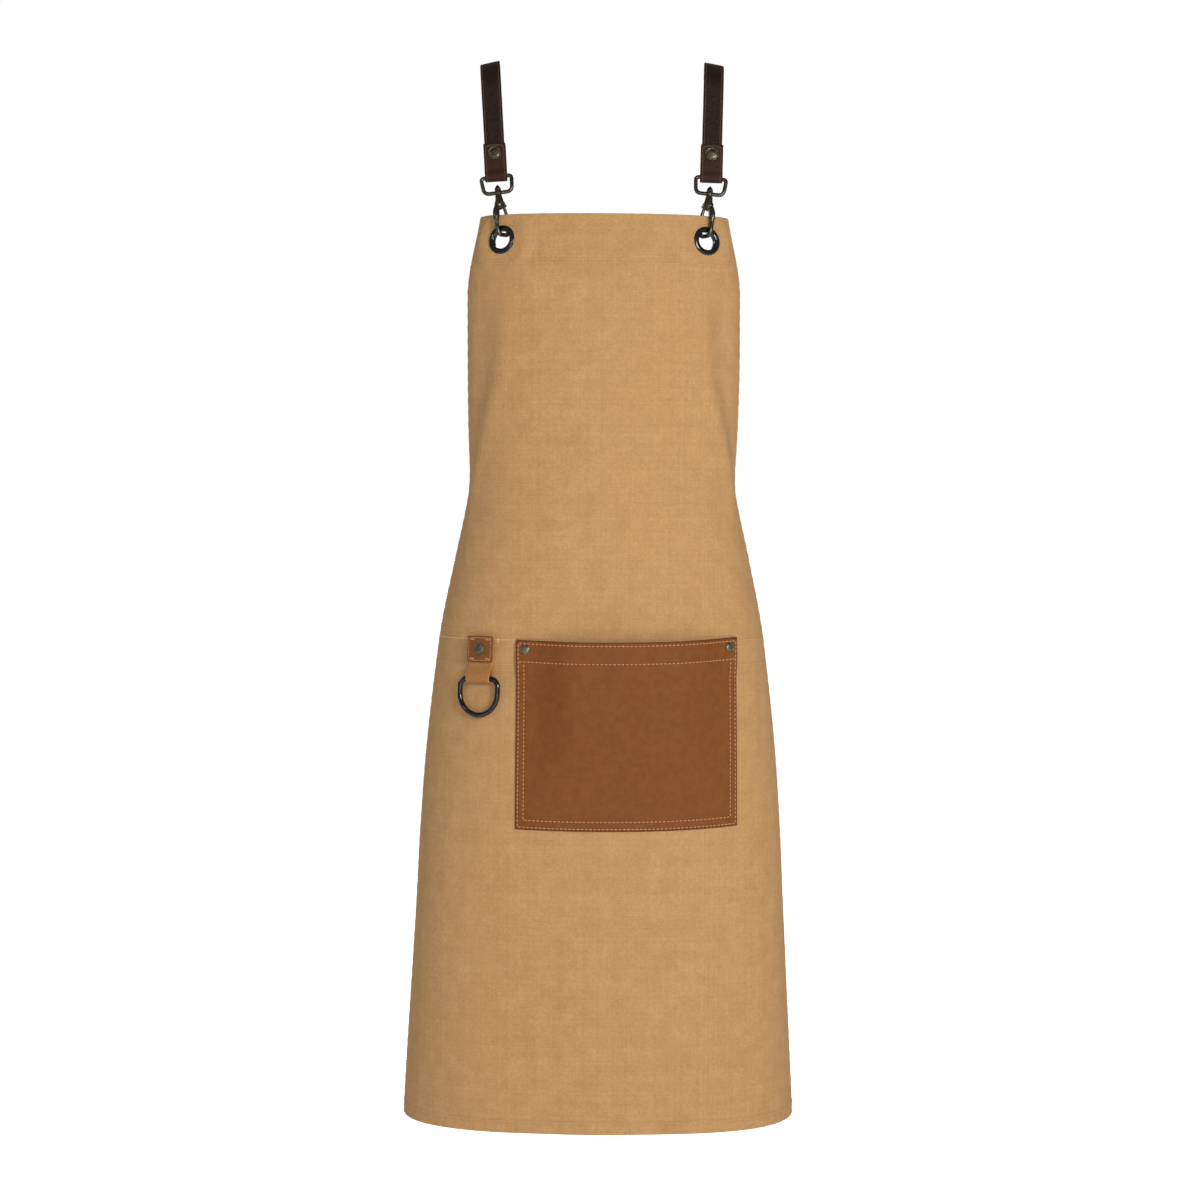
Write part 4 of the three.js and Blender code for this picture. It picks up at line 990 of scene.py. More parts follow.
# Threads from starts to ends that rise out of the material and go back in
def threadShape(starts, ends, out, radius, sides=6):
    profile = np.array([0.5, 0.86, 1.0, 1.0, 1.0, 0.86, 0.5])
    rise = np.array([-0.9, 0.05, 0.5, 0.62, 0.5, 0.05, -0.9]) * radius
    shares = np.array([0.0, 0.1, 0.28, 0.5, 0.72, 0.9, 1.0])
    rings = len(shares)
    span = ends - starts
    along = unit(span)
    side = unit(np.cross(out, along))
    up = np.cross(along, side)
    angles = np.arange(sides) * 2 * math.pi / sides
    centre = starts[:, None] + span[:, None] * shares[:, None] + up[:, None] * rise[:, None]
    ring = side[:, None] * np.cos(angles)[None, :, None] + up[:, None] * np.sin(angles)[None, :, None]
    points = centre[:, :, None] + ring[:, None] * (profile * radius)[None, :, None, None]
    index = np.arange(len(starts) * rings * sides).reshape(len(starts), rings, sides)
    caps = np.concatenate([index[:, 0, ::-1], index[:, -1]])
    return points.reshape(-1, 3), [ringQuads(index[:, :-1], index[:, 1:]), caps]


# The same stitches seen from the cloth's other side
def turnedOver(row):
    starts, ends, out = row
    return ends, starts, -out


# One piece from the threads of several rows of stitches
def sewnPiece(name, rows, radius, thread):
    starts, ends, out = (np.concatenate([row[k] for row in rows]) for k in range(3))
    return joinShapes(name, [threadShape(starts, ends, out, radius)], thread)


# Short dense bar of thread that locks the end of a seam
def bartack(place, drop, length, width, angle):
    turn = math.radians(angle)
    along = np.linspace(-0.5, 0.5, max(int(length / stitching["tackPitch"]), 3)) * length
    lean = np.where(np.arange(len(along)) % 2, 0.5, -0.5) * width
    places = place + along * math.cos(turn) - lean * math.sin(turn)
    drops = drop - along * math.sin(turn) - lean * math.cos(turn)
    points = offCloth(places, drops, 0.0)
    return points[:-1], points[1:], directions(clothFace, places[:-1], drops[:-1])[2]


def addCanvasStitching():
    pitch, length, radius = (stitching["canvas" + word] for word in ("Pitch", "Length", "Thread"))
    inset, hem, cuts = stitching["hemInset"], panelShape["hem"], 60
    behind = -panelShape["thickness"] - panelShape["gap"] - panelShape["turn"]
    behindTape = behind - (panelShape["tapeThickness"] - panelShape["turn"])
    rows, pale, under = [], [], []

    def sewn(store, places, drops, height=0.0):
        line = np.stack(np.broadcast_arrays(places, drops), -1)
        store.append(stitchesAlong(line, pitch, length, height))

    drops = np.linspace(0.003, panelLength - 0.002, 160)
    for side in sides.values():
        for store, height in ((rows, 0.0), (under, behind)):
            sewn(store, side * (sideEdge(drops) - inset), drops, height)
    # Seams across the panel: drop, how far from the sides they end, and the height of their undersides
    for drop, ends, below in (
        (stitching["facingDrop"], 0.002, behind), (stitching["edgeDrop"], 0.003, behind),
        (panelLength - inset, 0.004, behind), *((seam, hem, behindTape) for seam in tapeSeams),
    ):
        reach = float(sideEdge(drop)) - ends
        whole = np.linspace(-1, 1, cuts) * reach
        sewn(under, whole, drop, below)
        if drop == tapeSeams[0]:    # pale thread up to the pocket, then the panel's own
            sewn(pale, np.linspace(-reach, pocket["left"], cuts), drop)
            sewn(rows, np.linspace(pocket["left"], reach, cuts), drop)
        else:
            sewn(rows, whole, drop)

    facingDrop, lean = stitching["facingDrop"], stitching["facingTackLean"]
    facingEnd = float(sideEdge(facingDrop)) - stitching["facingTackInset"]
    for side in sides.values():
        pale.append(bartack(side * facingEnd, facingDrop - 0.001, *stitching["facingTack"], -side * lean))
    # Tacks of the waist seam beside the pocket and on both sides of the tab's patch
    half = tab["patchWidth"] / 2
    for place in (pocket["left"] - 0.003, tab["place"] + half + 0.0022, tab["place"] - half - 0.0018):
        pale.append(bartack(place, tapeSeams[0] + 0.0008, *stitching["waistTack"], 90))
    under = [turnedOver(row) for row in under]
    for name, stitches, thread in (
        ("canvasStitching", rows, canvasThread), ("waistStitching", pale, paleThread),
        ("seamUndersides", under, canvasThread),
    ):
        attach(sewnPiece(name, stitches, radius, thread), "apron")


# The leather pocket

pocket = {
    "left": -0.0795, "width": 0.211, "height": 0.1765, "drop": 0.399, "bow": 0.0026, "rise": 0.0028,
    "leather": 0.0016, "seam": 0.009, "slack": 0.011, "ease": 0.045, "hem": 0.022, "hemThickness": 0.0012,
    "rivetInset": 0.009, "rivetRadius": 0.0047, "bandStitch": 0.0203, "topStitch": 0.0034,
    "edge": 0.0005, "sideRows": (0.0023, 0.0077), "bottomRows": (0.0022, 0.0088),
}


def pocketBow(place):
    share = (place - pocket["left"]) / pocket["width"]
    return pocket["bow"] * (1 - (2 * share - 1) ** 2) - pocket["rise"] * share


def fromPocketSide(place):
    return np.minimum(place - pocket["left"], pocket["left"] + pocket["width"] - place)


# Height of the pocket's inner face off the cloth
def pocketRise(place, down):
    flat = pocket["rivetInset"] + pocket["rivetRadius"] + clearance
    fromSide = fromPocketSide(place) - flat
    fromBottom = pocket["height"] - down - pocket["seam"]
    overHem = easeIn((pocket["hem"] + 2 * pocket["seam"] - down) / (2 * pocket["seam"]))
    belly = easeIn(fromSide / pocket["ease"]) * easeIn(fromBottom / pocket["ease"] / 2)
    gap = panelShape["gap"]
    return gap + (pocket["hemThickness"] + gap) * overHem + pocket["slack"] * belly


def pocketInside(place, down):
    return np.maximum(np.minimum(fromPocketSide(place), np.minimum(down, pocket["height"] - down)), 0)


# Outer face of the pocket's leather, pressed in along its stitching and a little uneven
def pocketFace(place, down):
    below = easeIn((down - pocket["hem"]) / 0.004)
    press = sum(bell(fromPocketSide(place) - row, 0.0007) * below for row in pocket["sideRows"])
    press = press + sum(bell(pocket["height"] - down - row, 0.0007) for row in pocket["bottomRows"])
    press = press + sum(bell(down - pocket[row], 0.0008) for row in ("bandStitch", "topStitch"))
    step = 0.00025 * (1 - easeIn((down - pocket["hem"] + 0.001) / 0.002))
    uneven = 0.00035 * unevenness(place, down, 0.05, 7.0) * easeIn(pocketInside(place, down) / 0.02)
    return pocketRise(place, down) + pocket["leather"] + step + uneven - 0.0003 * np.clip(press, 0, 1)


def pocketPoint(place, down, height):
    return offCloth(place, pocket["drop"] + pocketBow(place) + down, height)


# Lines across the pocket's leather, closer together beside its seams
def pocketLines(length, seams):
    near = np.linspace(-0.0009, 0.0009, 5)
    lines = np.concatenate([linesBetween(0, length, 0.0016), *(seam + near for seam in seams)])
    return np.unique(np.round(lines, 6))


def addPocket():
    across = pocketLines(pocket["width"], [*pocket["sideRows"],
                                           *(pocket["width"] - row for row in pocket["sideRows"])])
    downs = pocketLines(pocket["height"], [*(pocket["height"] - row for row in pocket["bottomRows"]),
                                           pocket["bandStitch"], pocket["topStitch"], pocket["hem"]])
    place, down = np.meshgrid(pocket["left"] + across, downs)
    inside = pocketInside(place, down)
    fall = edgeFall(inside, pocket["leather"])
    outer = pocketPoint(place, down, pocketFace(place, down) - fall)
    inner = pocketPoint(place, down, pocketRise(place, down) + 0.6 * fall)
    leather = closedSheet("toolPocket", outer, inner, pocketLeather, np.stack([place, -down], -1),
                          {"inside": inside})
    attach(leather, "apron", "pocket_panel")

    edge = pocket["edge"]
    place, down = np.meshgrid(pocket["left"] + linesBetween(edge, pocket["width"] - edge, 0.003),
                              linesBetween(edge, pocket["hem"], 0.003))
    under = pocketRise(place, down) - panelShape["gap"]
    fromHem = np.minimum(pocketInside(place, down) - edge, pocket["hem"] - down)
    fall = edgeFall(np.maximum(fromHem, 0), pocket["hemThickness"])
    outer = pocketPoint(place, down, under - fall)
    inner = pocketPoint(place, down, under - pocket["hemThickness"] + fall)
    turnedEdge = closedSheet("pocketMouthHem", outer, inner, pocketLeather, np.stack([place, -down], -1),
                             {"inside": np.maximum(fromHem, 0)})
    attach(turnedEdge, "apron", "pocket_mouth_hem")


def addPocketStitching():
    pitch, length, radius = (stitching["leather" + word] for word in ("Pitch", "Length", "Thread"))
    left, right = pocket["left"], pocket["left"] + pocket["width"]
    cuts, rows = 60, []

    def onLeather(places, drops):
        return pocketFace(places, drops - pocket["drop"] - pocketBow(places))

    def sewn(places, downs):
        line = np.stack([places, pocket["drop"] + pocketBow(places) + downs], -1)
        rows.append(stitchesAlong(line, pitch, length, onLeather))

    outer, inner = pocket["sideRows"]
    for down in (pocket["topStitch"], pocket["bandStitch"]):
        sewn(np.linspace(left + outer, right - outer, cuts), np.full(cuts, down))
    for inset, start, low in ((outer, pocket["topStitch"], pocket["bottomRows"][0]),
                              (inner, pocket["bandStitch"] + 0.002, pocket["bottomRows"][1])):
        for place in (left + inset, right - inset):
            sewn(np.full(cuts, place), np.linspace(start, pocket["height"] - low, cuts))
        sewn(np.linspace(left + inset, right - inset, cuts), np.full(cuts, pocket["height"] - low))
    attach(sewnPiece("pocketStitching", rows, radius, leatherThread), "apron")


# Rivets, eyelets and the ring's tab

rivet = {"post": 0.0015, "burr": 0.004, "burrThickness": 0.001, "capHeight": 0.0017}


# Cap rivet with a stepped rim round its dome, and the burr behind the cloth
def addRivet(name, place, drop, seat, radius, shownAs):
    frameHere = frameAt(place, drop)
    gap = panelShape["gap"]
    burrFace = -panelShape["thickness"] - gap - panelShape["tapeThickness"] - 2 * gap
    burrBack = burrFace - rivet["burrThickness"]
    base, high = seat + 1.2 * gap, rivet["capHeight"]
    profile = [
        (0, burrBack), (rivet["post"], burrBack), (rivet["post"], base), (0.97 * radius, base),
        (radius, base + 0.22 * high), (0.95 * radius, base + 0.5 * high), (0.86 * radius, base + 0.5 * high),
        (0.82 * radius, base + 0.42 * high), *domeProfile(0.80 * radius, base + 0.52 * high, 0.48 * high, 9),
    ]
    cap = turnedPiece(shownAs, profile, frameHere, antiqueMetal, rounding=0.00022)
    ring = ringProfile(rivet["post"] + clearance, rivet["burr"], burrBack, burrFace)
    burr = turnedPiece(shownAs + "Burr", ring, frameHere, antiqueMetal, closed=True)
    attach(cap, "apron", f"{name}_rivet")
    attach(burr, "apron", f"{name}_burr")


def addPocketRivets():
    places = {"left": pocket["left"] + pocket["rivetInset"],
              "right": pocket["left"] + pocket["width"] - pocket["rivetInset"]}
    for name, place in places.items():
        seat = float(pocketRise(place, pocket["rivetInset"])) + pocket["leather"]
        drop = pocket["drop"] + pocketBow(place) + pocket["rivetInset"]
        addRivet(f"pocket_{name}", place, drop, seat, pocket["rivetRadius"], f"{name}PocketRivet")


eyeletRing = {"hole": 0.0085, "wall": 0.0013, "flange": 0.0138, "height": 0.0015, "washer": 0.0008}


def addEyelets():
    ring, shape = eyeletRing, panelShape
    washerFace = -shape["thickness"] - 2 * shape["gap"] - shape["turn"]
    back = washerFace - ring["washer"]
    barrel = ring["hole"] + ring["wall"]
    middle, half = (barrel + ring["flange"]) / 2, (ring["flange"] - ring["hole"]) / 2
    centre = (ring["hole"] + ring["flange"]) / 2
    seat, bulge = 0.0002, 0.0002
    roll = [(centre - half * math.cos(a), seat + ring["height"] * math.sin(a))
            for a in np.linspace(0, math.pi, 19)]
    for name in sides:
        hinge = joints[f"{name}_hook_swing"]
        place = facing(hinge["pos_m"], hinge["axis"])
        profile = [(ring["hole"], back), *roll, (barrel, seat), (barrel, back)]
        front = turnedPiece(f"{name}Eyelet", profile, place, blackMetal, closed=True, segments=96,
                            rounding=0.0002)
        profile = [
            (barrel + clearance, back), (middle, back - bulge), (ring["flange"], back + bulge),
            (ring["flange"], washerFace), (barrel + clearance, washerFace),
        ]
        washer = turnedPiece(f"{name}EyeletWasher", profile, place, blackMetal, closed=True, segments=96)
        attach(front, "apron", f"{name}_eyelet")
        attach(washer, "apron", f"{name}_eyelet_washer")


tab = {
    "place": -0.1145, "drop": 0.4087, "patchWidth": 0.027, "patchHeight": 0.0245, "patchThickness": 0.0014,
    "patchCorner": 0.0015, "strapWidth": 0.0255, "leather": 0.0016, "ringDrop": 0.0276, "wire": 0.0024,
    "ringWidth": 0.0456, "ringHeight": 0.039, "ringCorner": 0.008, "rivetRadius": 0.0053,
    "stitchInset": 0.0017, "stitchPitch": 0.0027, "thread": 0.00034,
    "tackInset": 0.0032, "tackShift": 0.0021, "tackStitches": 7, "tackPitch": 0.00062,
}


# Path of a strap end folded round a bar, as (out, up) points of the leather's middle
def foldPath(barRadius, leather, top, back, front, pinch, cuts=10):
    middle = barRadius + clearance + leather / 2
    backX, frontX = back - leather / 2, front + leather / 2
    path = [(backX, height) for height in np.linspace(top, pinch, cuts)]
    path += bezier((backX, pinch), (backX, pinch / 2), (-middle, pinch / 2), (-middle, 0), cuts)[1:]
    path += arc(0, 0, middle, 180, 360, 2 * cuts)[1:]
    path += bezier((middle, 0), (middle, pinch / 2), (frontX, pinch / 2), (frontX, pinch), cuts)[1:]
    path += [(frontX, height) for height in np.linspace(pinch, top, cuts)[1:]]
    return path


# Plate with rounded corners and softened edges, flat on its frame's XY plane
def plateShape(width, height, corner, base, thickness, place):
    x, y = width / 2 - corner, height / 2 - corner
    corners = ((x, y), (-x, y), (-x, -y), (x, -y))
    quarters = [arc(*centre, corner, 90 * k, 90 * k + 90, 6) for k, centre in enumerate(corners)]
    outline = np.concatenate(quarters)
    count = len(outline)
    soft = 0.3 * thickness
    rings = [(0.0, base), (0.0, base + thickness - soft), (0.35 * soft, base + thickness - 0.35 * soft),
             (soft, base + thickness)]
    points = []
    for inset, level in rings:
        size = np.array([1 - 2 * inset / width, 1 - 2 * inset / height])
        points.append(np.column_stack([outline * size, np.full(count, level)]))
    index = np.arange(len(rings) * count).reshape(len(rings), count)
    faces = [ringQuads(index[:-1], index[1:]), index[:1, ::-1], index[-1:]]
    return inFrame(place, np.concatenate(points)), faces


def ringPath():
    halfWidth = tab["ringWidth"] / 2 - tab["wire"]
    low = tab["ringHeight"] - 2 * tab["wire"] - halfWidth
    bar, corner = halfWidth - tab["ringCorner"], tab["ringCorner"]
    path = [(x, 0) for x in np.linspace(-bar, bar, 12)[:-1]]
    path += arc(bar, corner, corner, -90, 0, 10)
    path += arc(0, low, halfWidth, 0, 180, 40)[(1 if low > corner else 0):]
    path += arc(-bar, corner, corner, 180, 270, 10)[:-1]
    return path


def addTab():
    place = frameAt(tab["place"], tab["drop"])
    gap, leather = panelShape["gap"], tab["leather"]
    across, up, out, origin = axesOf(place)
    barOut = gap + leather + clearance + tab["wire"]
    patchBase = 2 * gap + 2 * leather + clearance
    fold = foldPath(tab["wire"], leather, tab["ringDrop"] + tab["patchHeight"] / 2 - 0.001,
                    -tab["wire"] - clearance, -tab["wire"], 0.55 * tab["ringDrop"])
    path = [origin + out * (barOut + x) + up * (y - tab["ringDrop"]) for x, y in fold]
    section = strapSection(tab["strapWidth"], leather, 0.0022, 0.00012, 30)
    strap = bandPiece("ringTabStrap", path, across, section, tabLeather)
    attach(strap, "apron", "tab_strap")

    points, faces = plateShape(tab["patchWidth"], tab["patchHeight"], tab["patchCorner"], patchBase,
                               tab["patchThickness"], place)
    local = (points - origin) @ np.stack([across, up], -1)
    inside = np.minimum(tab["patchWidth"] / 2 - abs(local[:, 0]), tab["patchHeight"] / 2 - abs(local[:, 1]))
    patch = makeMesh("ringTabPatch", points, faces, patchLeather, local, {"inside": np.maximum(inside, 0)})
    attach(patch, "apron", "tab_patch")
    seat = patchBase + tab["patchThickness"]
    addRivet("tab", tab["place"], tab["drop"], seat, tab["rivetRadius"], "tabRivet")
    addTabStitching(place, seat)

    path = [origin + out * barOut + across * x - up * (tab["ringDrop"] + y) for x, y in ringPath()]
    ring = joinShapes("tabRing", [wireShape(path, tab["wire"], out, closed=True)], blackMetal, creaseAngle=60)
    attach(ring, "ring", "d_ring")


# A bar of stitches in each corner of the patch, and a row of stitches round it
def addTabStitching(place, seat):
    lines = []
    x, y = tab["patchWidth"] / 2 - tab["tackInset"], tab["patchHeight"] / 2 - tab["tackInset"]
    for sideways in (-1, 1):
        for upwards in (-1, 1):
            for k in range(tab["tackStitches"]):
                u = sideways * (x - tab["tackShift"]) + (k - tab["tackStitches"] // 2) * tab["tackPitch"]
                lines.append([(u, upwards * y - 0.0008), (u + 0.0003, upwards * y + 0.0008)])
    x, y = tab["patchWidth"] / 2 - tab["stitchInset"], tab["patchHeight"] / 2 - tab["stitchInset"]
    corners = np.array([(-x, y), (x, y), (x, -y), (-x, -y)])
    for start, end in zip(corners, np.roll(corners, -1, 0)):
        count = int(np.linalg.norm(end - start) / tab["stitchPitch"])
        for k in range(count):
            lines.append([start + (end - start) * (k + share) / count for share in (0.1, 0.9)])
    starts, ends = np.array(lines).transpose(1, 0, 2)
    starts, ends = (inFrame(place, np.column_stack([row, np.full(len(row), seat)])) for row in (starts, ends))
    out = np.tile(place.col[2].xyz, (len(lines), 1))
    piece = sewnPiece("tabStitching", [(starts, ends, out)], tab["thread"], leatherThread)
    attach(piece, "apron")


# Hooks, loops and shoulder straps

hook = {
    "halfWidth": 0.007, "bottom": -0.0033, "wire": 0.002, "shell": 0.0016, "shoulder": 0.0265,
    "collar": 0.0037, "cheek": 0.0043, "gateWire": 0.0015, "pinOut": -0.0042, "pinHeight": 0.0248,
    "knuckle": 0.0021, "knuckleBore": 0.00095, "gateThickness": 0.0022, "springWidth": 0.0011,
}
loop = {
    "wire": 0.0019, "topWidth": 0.0323, "bottomWidth": 0.029, "height": 0.0194, "corner": 0.005,
    "base": 0.0376, "bossRadius": 0.0033, "bossHeight": 0.0046, "pin": 0.0014, "head": 0.0031,
    "headHeight": 0.005,
}


# The chain's frame, from where the hook bears on the eyelet up through the swivel
def chainFrame(name):
    swivel = joints[f"{name}_swivel"]
    z = Vector(swivel["axis"]).normalized()
    x = Vector(joints[f"{name}_strap_swing"]["axis"]).normalized()
    return frameOf(Vector(swivel["pos_m"]) - z * loop["base"], x, z.cross(x), z)


# The hook's own frame: X out to its front leg, Y along the gate's pin and Z up
def hookFrame(name):
    gate = joints[f"{name}_gate_turn"]
    z = Vector(joints[f"{name}_swivel"]["axis"]).normalized()
    y = -Vector(gate["axis"]).normalized()
    x = y.cross(z)
    return frameOf(Vector(gate["pos_m"]) - x * hook["pinOut"] - z * hook["pinHeight"], x, y, z)


def addHook(name):
    place, chain = hookFrame(name), chainFrame(name)
    w, top, collar = hook["halfWidth"], hook["shoulder"], hook["collar"]
    # The hook's wire from its shoulder down the front and up behind to the gate's tip, as (out, up)
    route = [
        (0.0018, top + 0.001), (0.0044, top - 0.0035), (w - 0.0008, top - 0.010), (w - 0.0001, 0.008),
        (w - 0.0004, 0.0008), (w - 0.0026, hook["bottom"] + 0.0005), (0, hook["bottom"]),
        (0.0026 - w, hook["bottom"] + 0.0005), (0.0008 - w, 0.0), (0.0003 - w, 0.0014),
    ]
    flat = smoothPath([(x, 0, z) for x, z in route], 10)
    path = inFrame(place, flat)
    broad = bell(flat[:, 2] - top + 0.0085, 0.0062) * (flat[:, 0] > 0)
    radius = hook["wire"] + hook["shell"] * broad
    normal = place.col[1].xyz
    shapes = [wireShape(path, radius, normal, flatten=1 - 0.22 * broad)]

    collarTop = loop["base"] - loop["bossHeight"] / 2 - clearance
    bore = loop["pin"] + clearance
    collarPlace = place.copy()
    collarPlace.translation = chain.translation
    body = [
        (bore, top + 0.002), (bore, collarTop), (collar - 0.0006, collarTop), (collar - 0.0002, top + 0.007),
        (collar, top + 0.005), (collar + 0.0006, top + 0.002), (collar + 0.0009, top - 0.0005),
        (bore, top - 0.0008),
    ]
    shapes.append(turnedShape(body, collarPlace, closed=True, rounding=0.0006))
    shapes.append(cheekShape(place))
    piece = joinShapes(f"{name}SnapHook", shapes, hookMetal, creaseAngle=50)
    attach(piece, f"{name}_hook", f"{name}_hook_body")

    pinOut, pinHeight = hook["pinOut"], hook["pinHeight"]
    # The gate's lever from its pin down to the hook's tip
    gateRoute = [
        (pinOut, pinHeight), (pinOut - 0.0017, pinHeight - 0.004), (-w, pinHeight - 0.009),
        (0.0002 - w, 0.0112), (0.0002 - w, 0.0056),
    ]
    flat = smoothPath([(x, 0, z) for x, z in gateRoute], 10)
    share = np.linspace(0, 1, len(flat))
    broad = bell(flat[:, 2] - 0.015, 0.005)
    width = hook["gateWire"] * (0.72 + 0.28 * easeIn(4 * share)) + 0.0005 * broad
    lever = wireShape(inFrame(place, flat), width, normal, sides=24, flatten=1 - 0.25 * broad)
    knucklePlace = frameOf(place @ Vector((pinOut, 0, pinHeight)), place.col[0].xyz, -place.col[2].xyz,
                           place.col[1].xyz)
    half = hook["gateThickness"] / 2
    ring = ringProfile(hook["knuckleBore"], hook["knuckle"], -half, half)
    knuckle = turnedShape(ring, knucklePlace, closed=True, segments=40, rounding=0.0002)
    gate = joinShapes(f"{name}HookGate", [lever, knuckle], hookMetal, creaseAngle=50)
    attach(gate, f"{name}_gate", f"{name}_hook_gate")

    base = loop["base"] + loop["bossHeight"] / 2 + clearance
    head, tall = loop["head"], loop["headHeight"]
    profile = [
        (0, top + 0.0023), (loop["pin"], top + 0.0023), (loop["pin"], base), (head, base),
        (head, base + 0.25 * tall), (0.82 * head, base + 0.45 * tall), (0.42 * head, base + 0.86 * tall),
        (0.2 * head, base + 0.98 * tall), (0, base + tall),
    ]
    knob = turnedPiece(f"{name}SwivelPin", profile, chain, hookMetal, rounding=0.0005)
    attach(knob, f"{name}_hook", f"{name}_swivel_pin")
    for node in ("gate_pin", "gate_spring"):
        carried = frame["nodes"][f"{name}_{node}"]
        carried.data.materials.clear()
        carried.data.materials.append(springSteel)


# The hook's shoulder: two cheeks either side of the gate's knuckle, joined over it
def cheekShape(place, rings=20, segments=36):
    slot = hook["gateThickness"] / 2 + hook["springWidth"] + 0.0006
    angles = np.arange(segments) * 2 * math.pi / segments
    points = []
    for share in np.linspace(-1, 1, rings):
        size = math.sqrt(max(1 - (0.985 * share) ** 2, 0.0))
        x = 0.0060 * size * np.cos(angles) - 0.0003
        y = np.full(segments, hook["cheek"] * share)
        z = 0.0052 * size * np.sin(angles) + hook["shoulder"]
        slotted = easeIn((slot - abs(y)) / 0.0005) * easeIn((-x - 0.0008) / 0.0008)
        points.append(np.column_stack([x * (1 - 0.62 * slotted), y, z]))
    index = np.arange(rings * segments).reshape(rings, segments)
    faces = [ringQuads(index[1:], index[:-1]), index[:1], index[-1:, ::-1]]
    return inFrame(place, np.concatenate(points)), faces


def loopPath():
    low, high = loop["bottomWidth"] / 2 - loop["wire"], loop["topWidth"] / 2 - loop["wire"]
    top, corner = loop["height"] - 2 * loop["wire"], loop["corner"]
    mm = 0.001
    right = [(x, 0) for x in np.linspace(0, low - corner, 8)]
    right += bezier((low - corner, 0), (low - 0.9 * mm, 0), (low + 0.9 * mm, 2 * mm),
                    (low + 1.1 * mm, 1.3 * corner), 16)[1:]
    right += [(low + 1.1 * mm + (high - low - 1.1 * mm) * t, 1.3 * corner + (top - 2.0 * corner) * t)
              for t in np.linspace(0, 1, 5)[1:]]
    right += bezier((high, top - 0.7 * corner), (high + 0.2 * mm, top - mm), (high - mm, top),
                    (high - 0.7 * corner, top), 12)[1:]
    right += [(x, top) for x in np.linspace(high - 0.7 * corner, 0, 8)[1:]]
    return right[:-1] + [(-x, z) for x, z in right[::-1][:-1]]


def addLoop(name):
    place = chainFrame(name)
    path = inFrame(place, [(x, 0, z + loop["base"]) for x, z in loopPath()])
    wire = wireShape(path, loop["wire"], place.col[1].xyz, closed=True)
    half = loop["bossHeight"] / 2
    ring = ringProfile(loop["pin"] + clearance, loop["bossRadius"], loop["base"] - half, loop["base"] + half)
    boss = turnedShape(ring, place, closed=True, rounding=0.0006)
    piece = joinShapes(f"{name}StrapLoop", [wire, boss], hookMetal, creaseAngle=60)
    attach(piece, f"{name}_loop", f"{name}_strap_loop")


strap = {
    "width": 0.019, "thickness": 0.0036, "shoulder": 0.028, "tail": 0.022, "fall": 20,
    "endWidth": 0.021, "endLeather": 0.0016, "ease": 0.0008, "pinch": 0.007, "endTop": 0.0318,
    "stud": 0.0223, "studRadius": 0.0067, "studHeight": 0.002, "studPost": 0.0018, "studBack": 0.0052,
    "studBackHeight": 0.001, "crestTilt": 9, "tailLean": 0.045, "creaseInset": 0.0021,
    "stitches": 9, "thread": 0.00028,
}


# The strap's frame has its origin at the loop's upper bar and its Z up along the strap, which is
# turned on the bar until the strap's middle runs to its cut end
def strapFrame(name):
    chain = chainFrame(name)
    x, y, z = (chain.col[k].xyz for k in range(3))
    origin = Vector(joints[f"{name}_strap_swing"]["pos_m"])
    run = Vector(mounts[f"{name}_strap_cut_end"]["pos_m"]) - origin
    turn = math.atan2(run.dot(x), run.dot(z))
    across, up = x * math.cos(turn) - z * math.sin(turn), x * math.sin(turn) + z * math.cos(turn)
    return frameOf(origin, across, y, up)


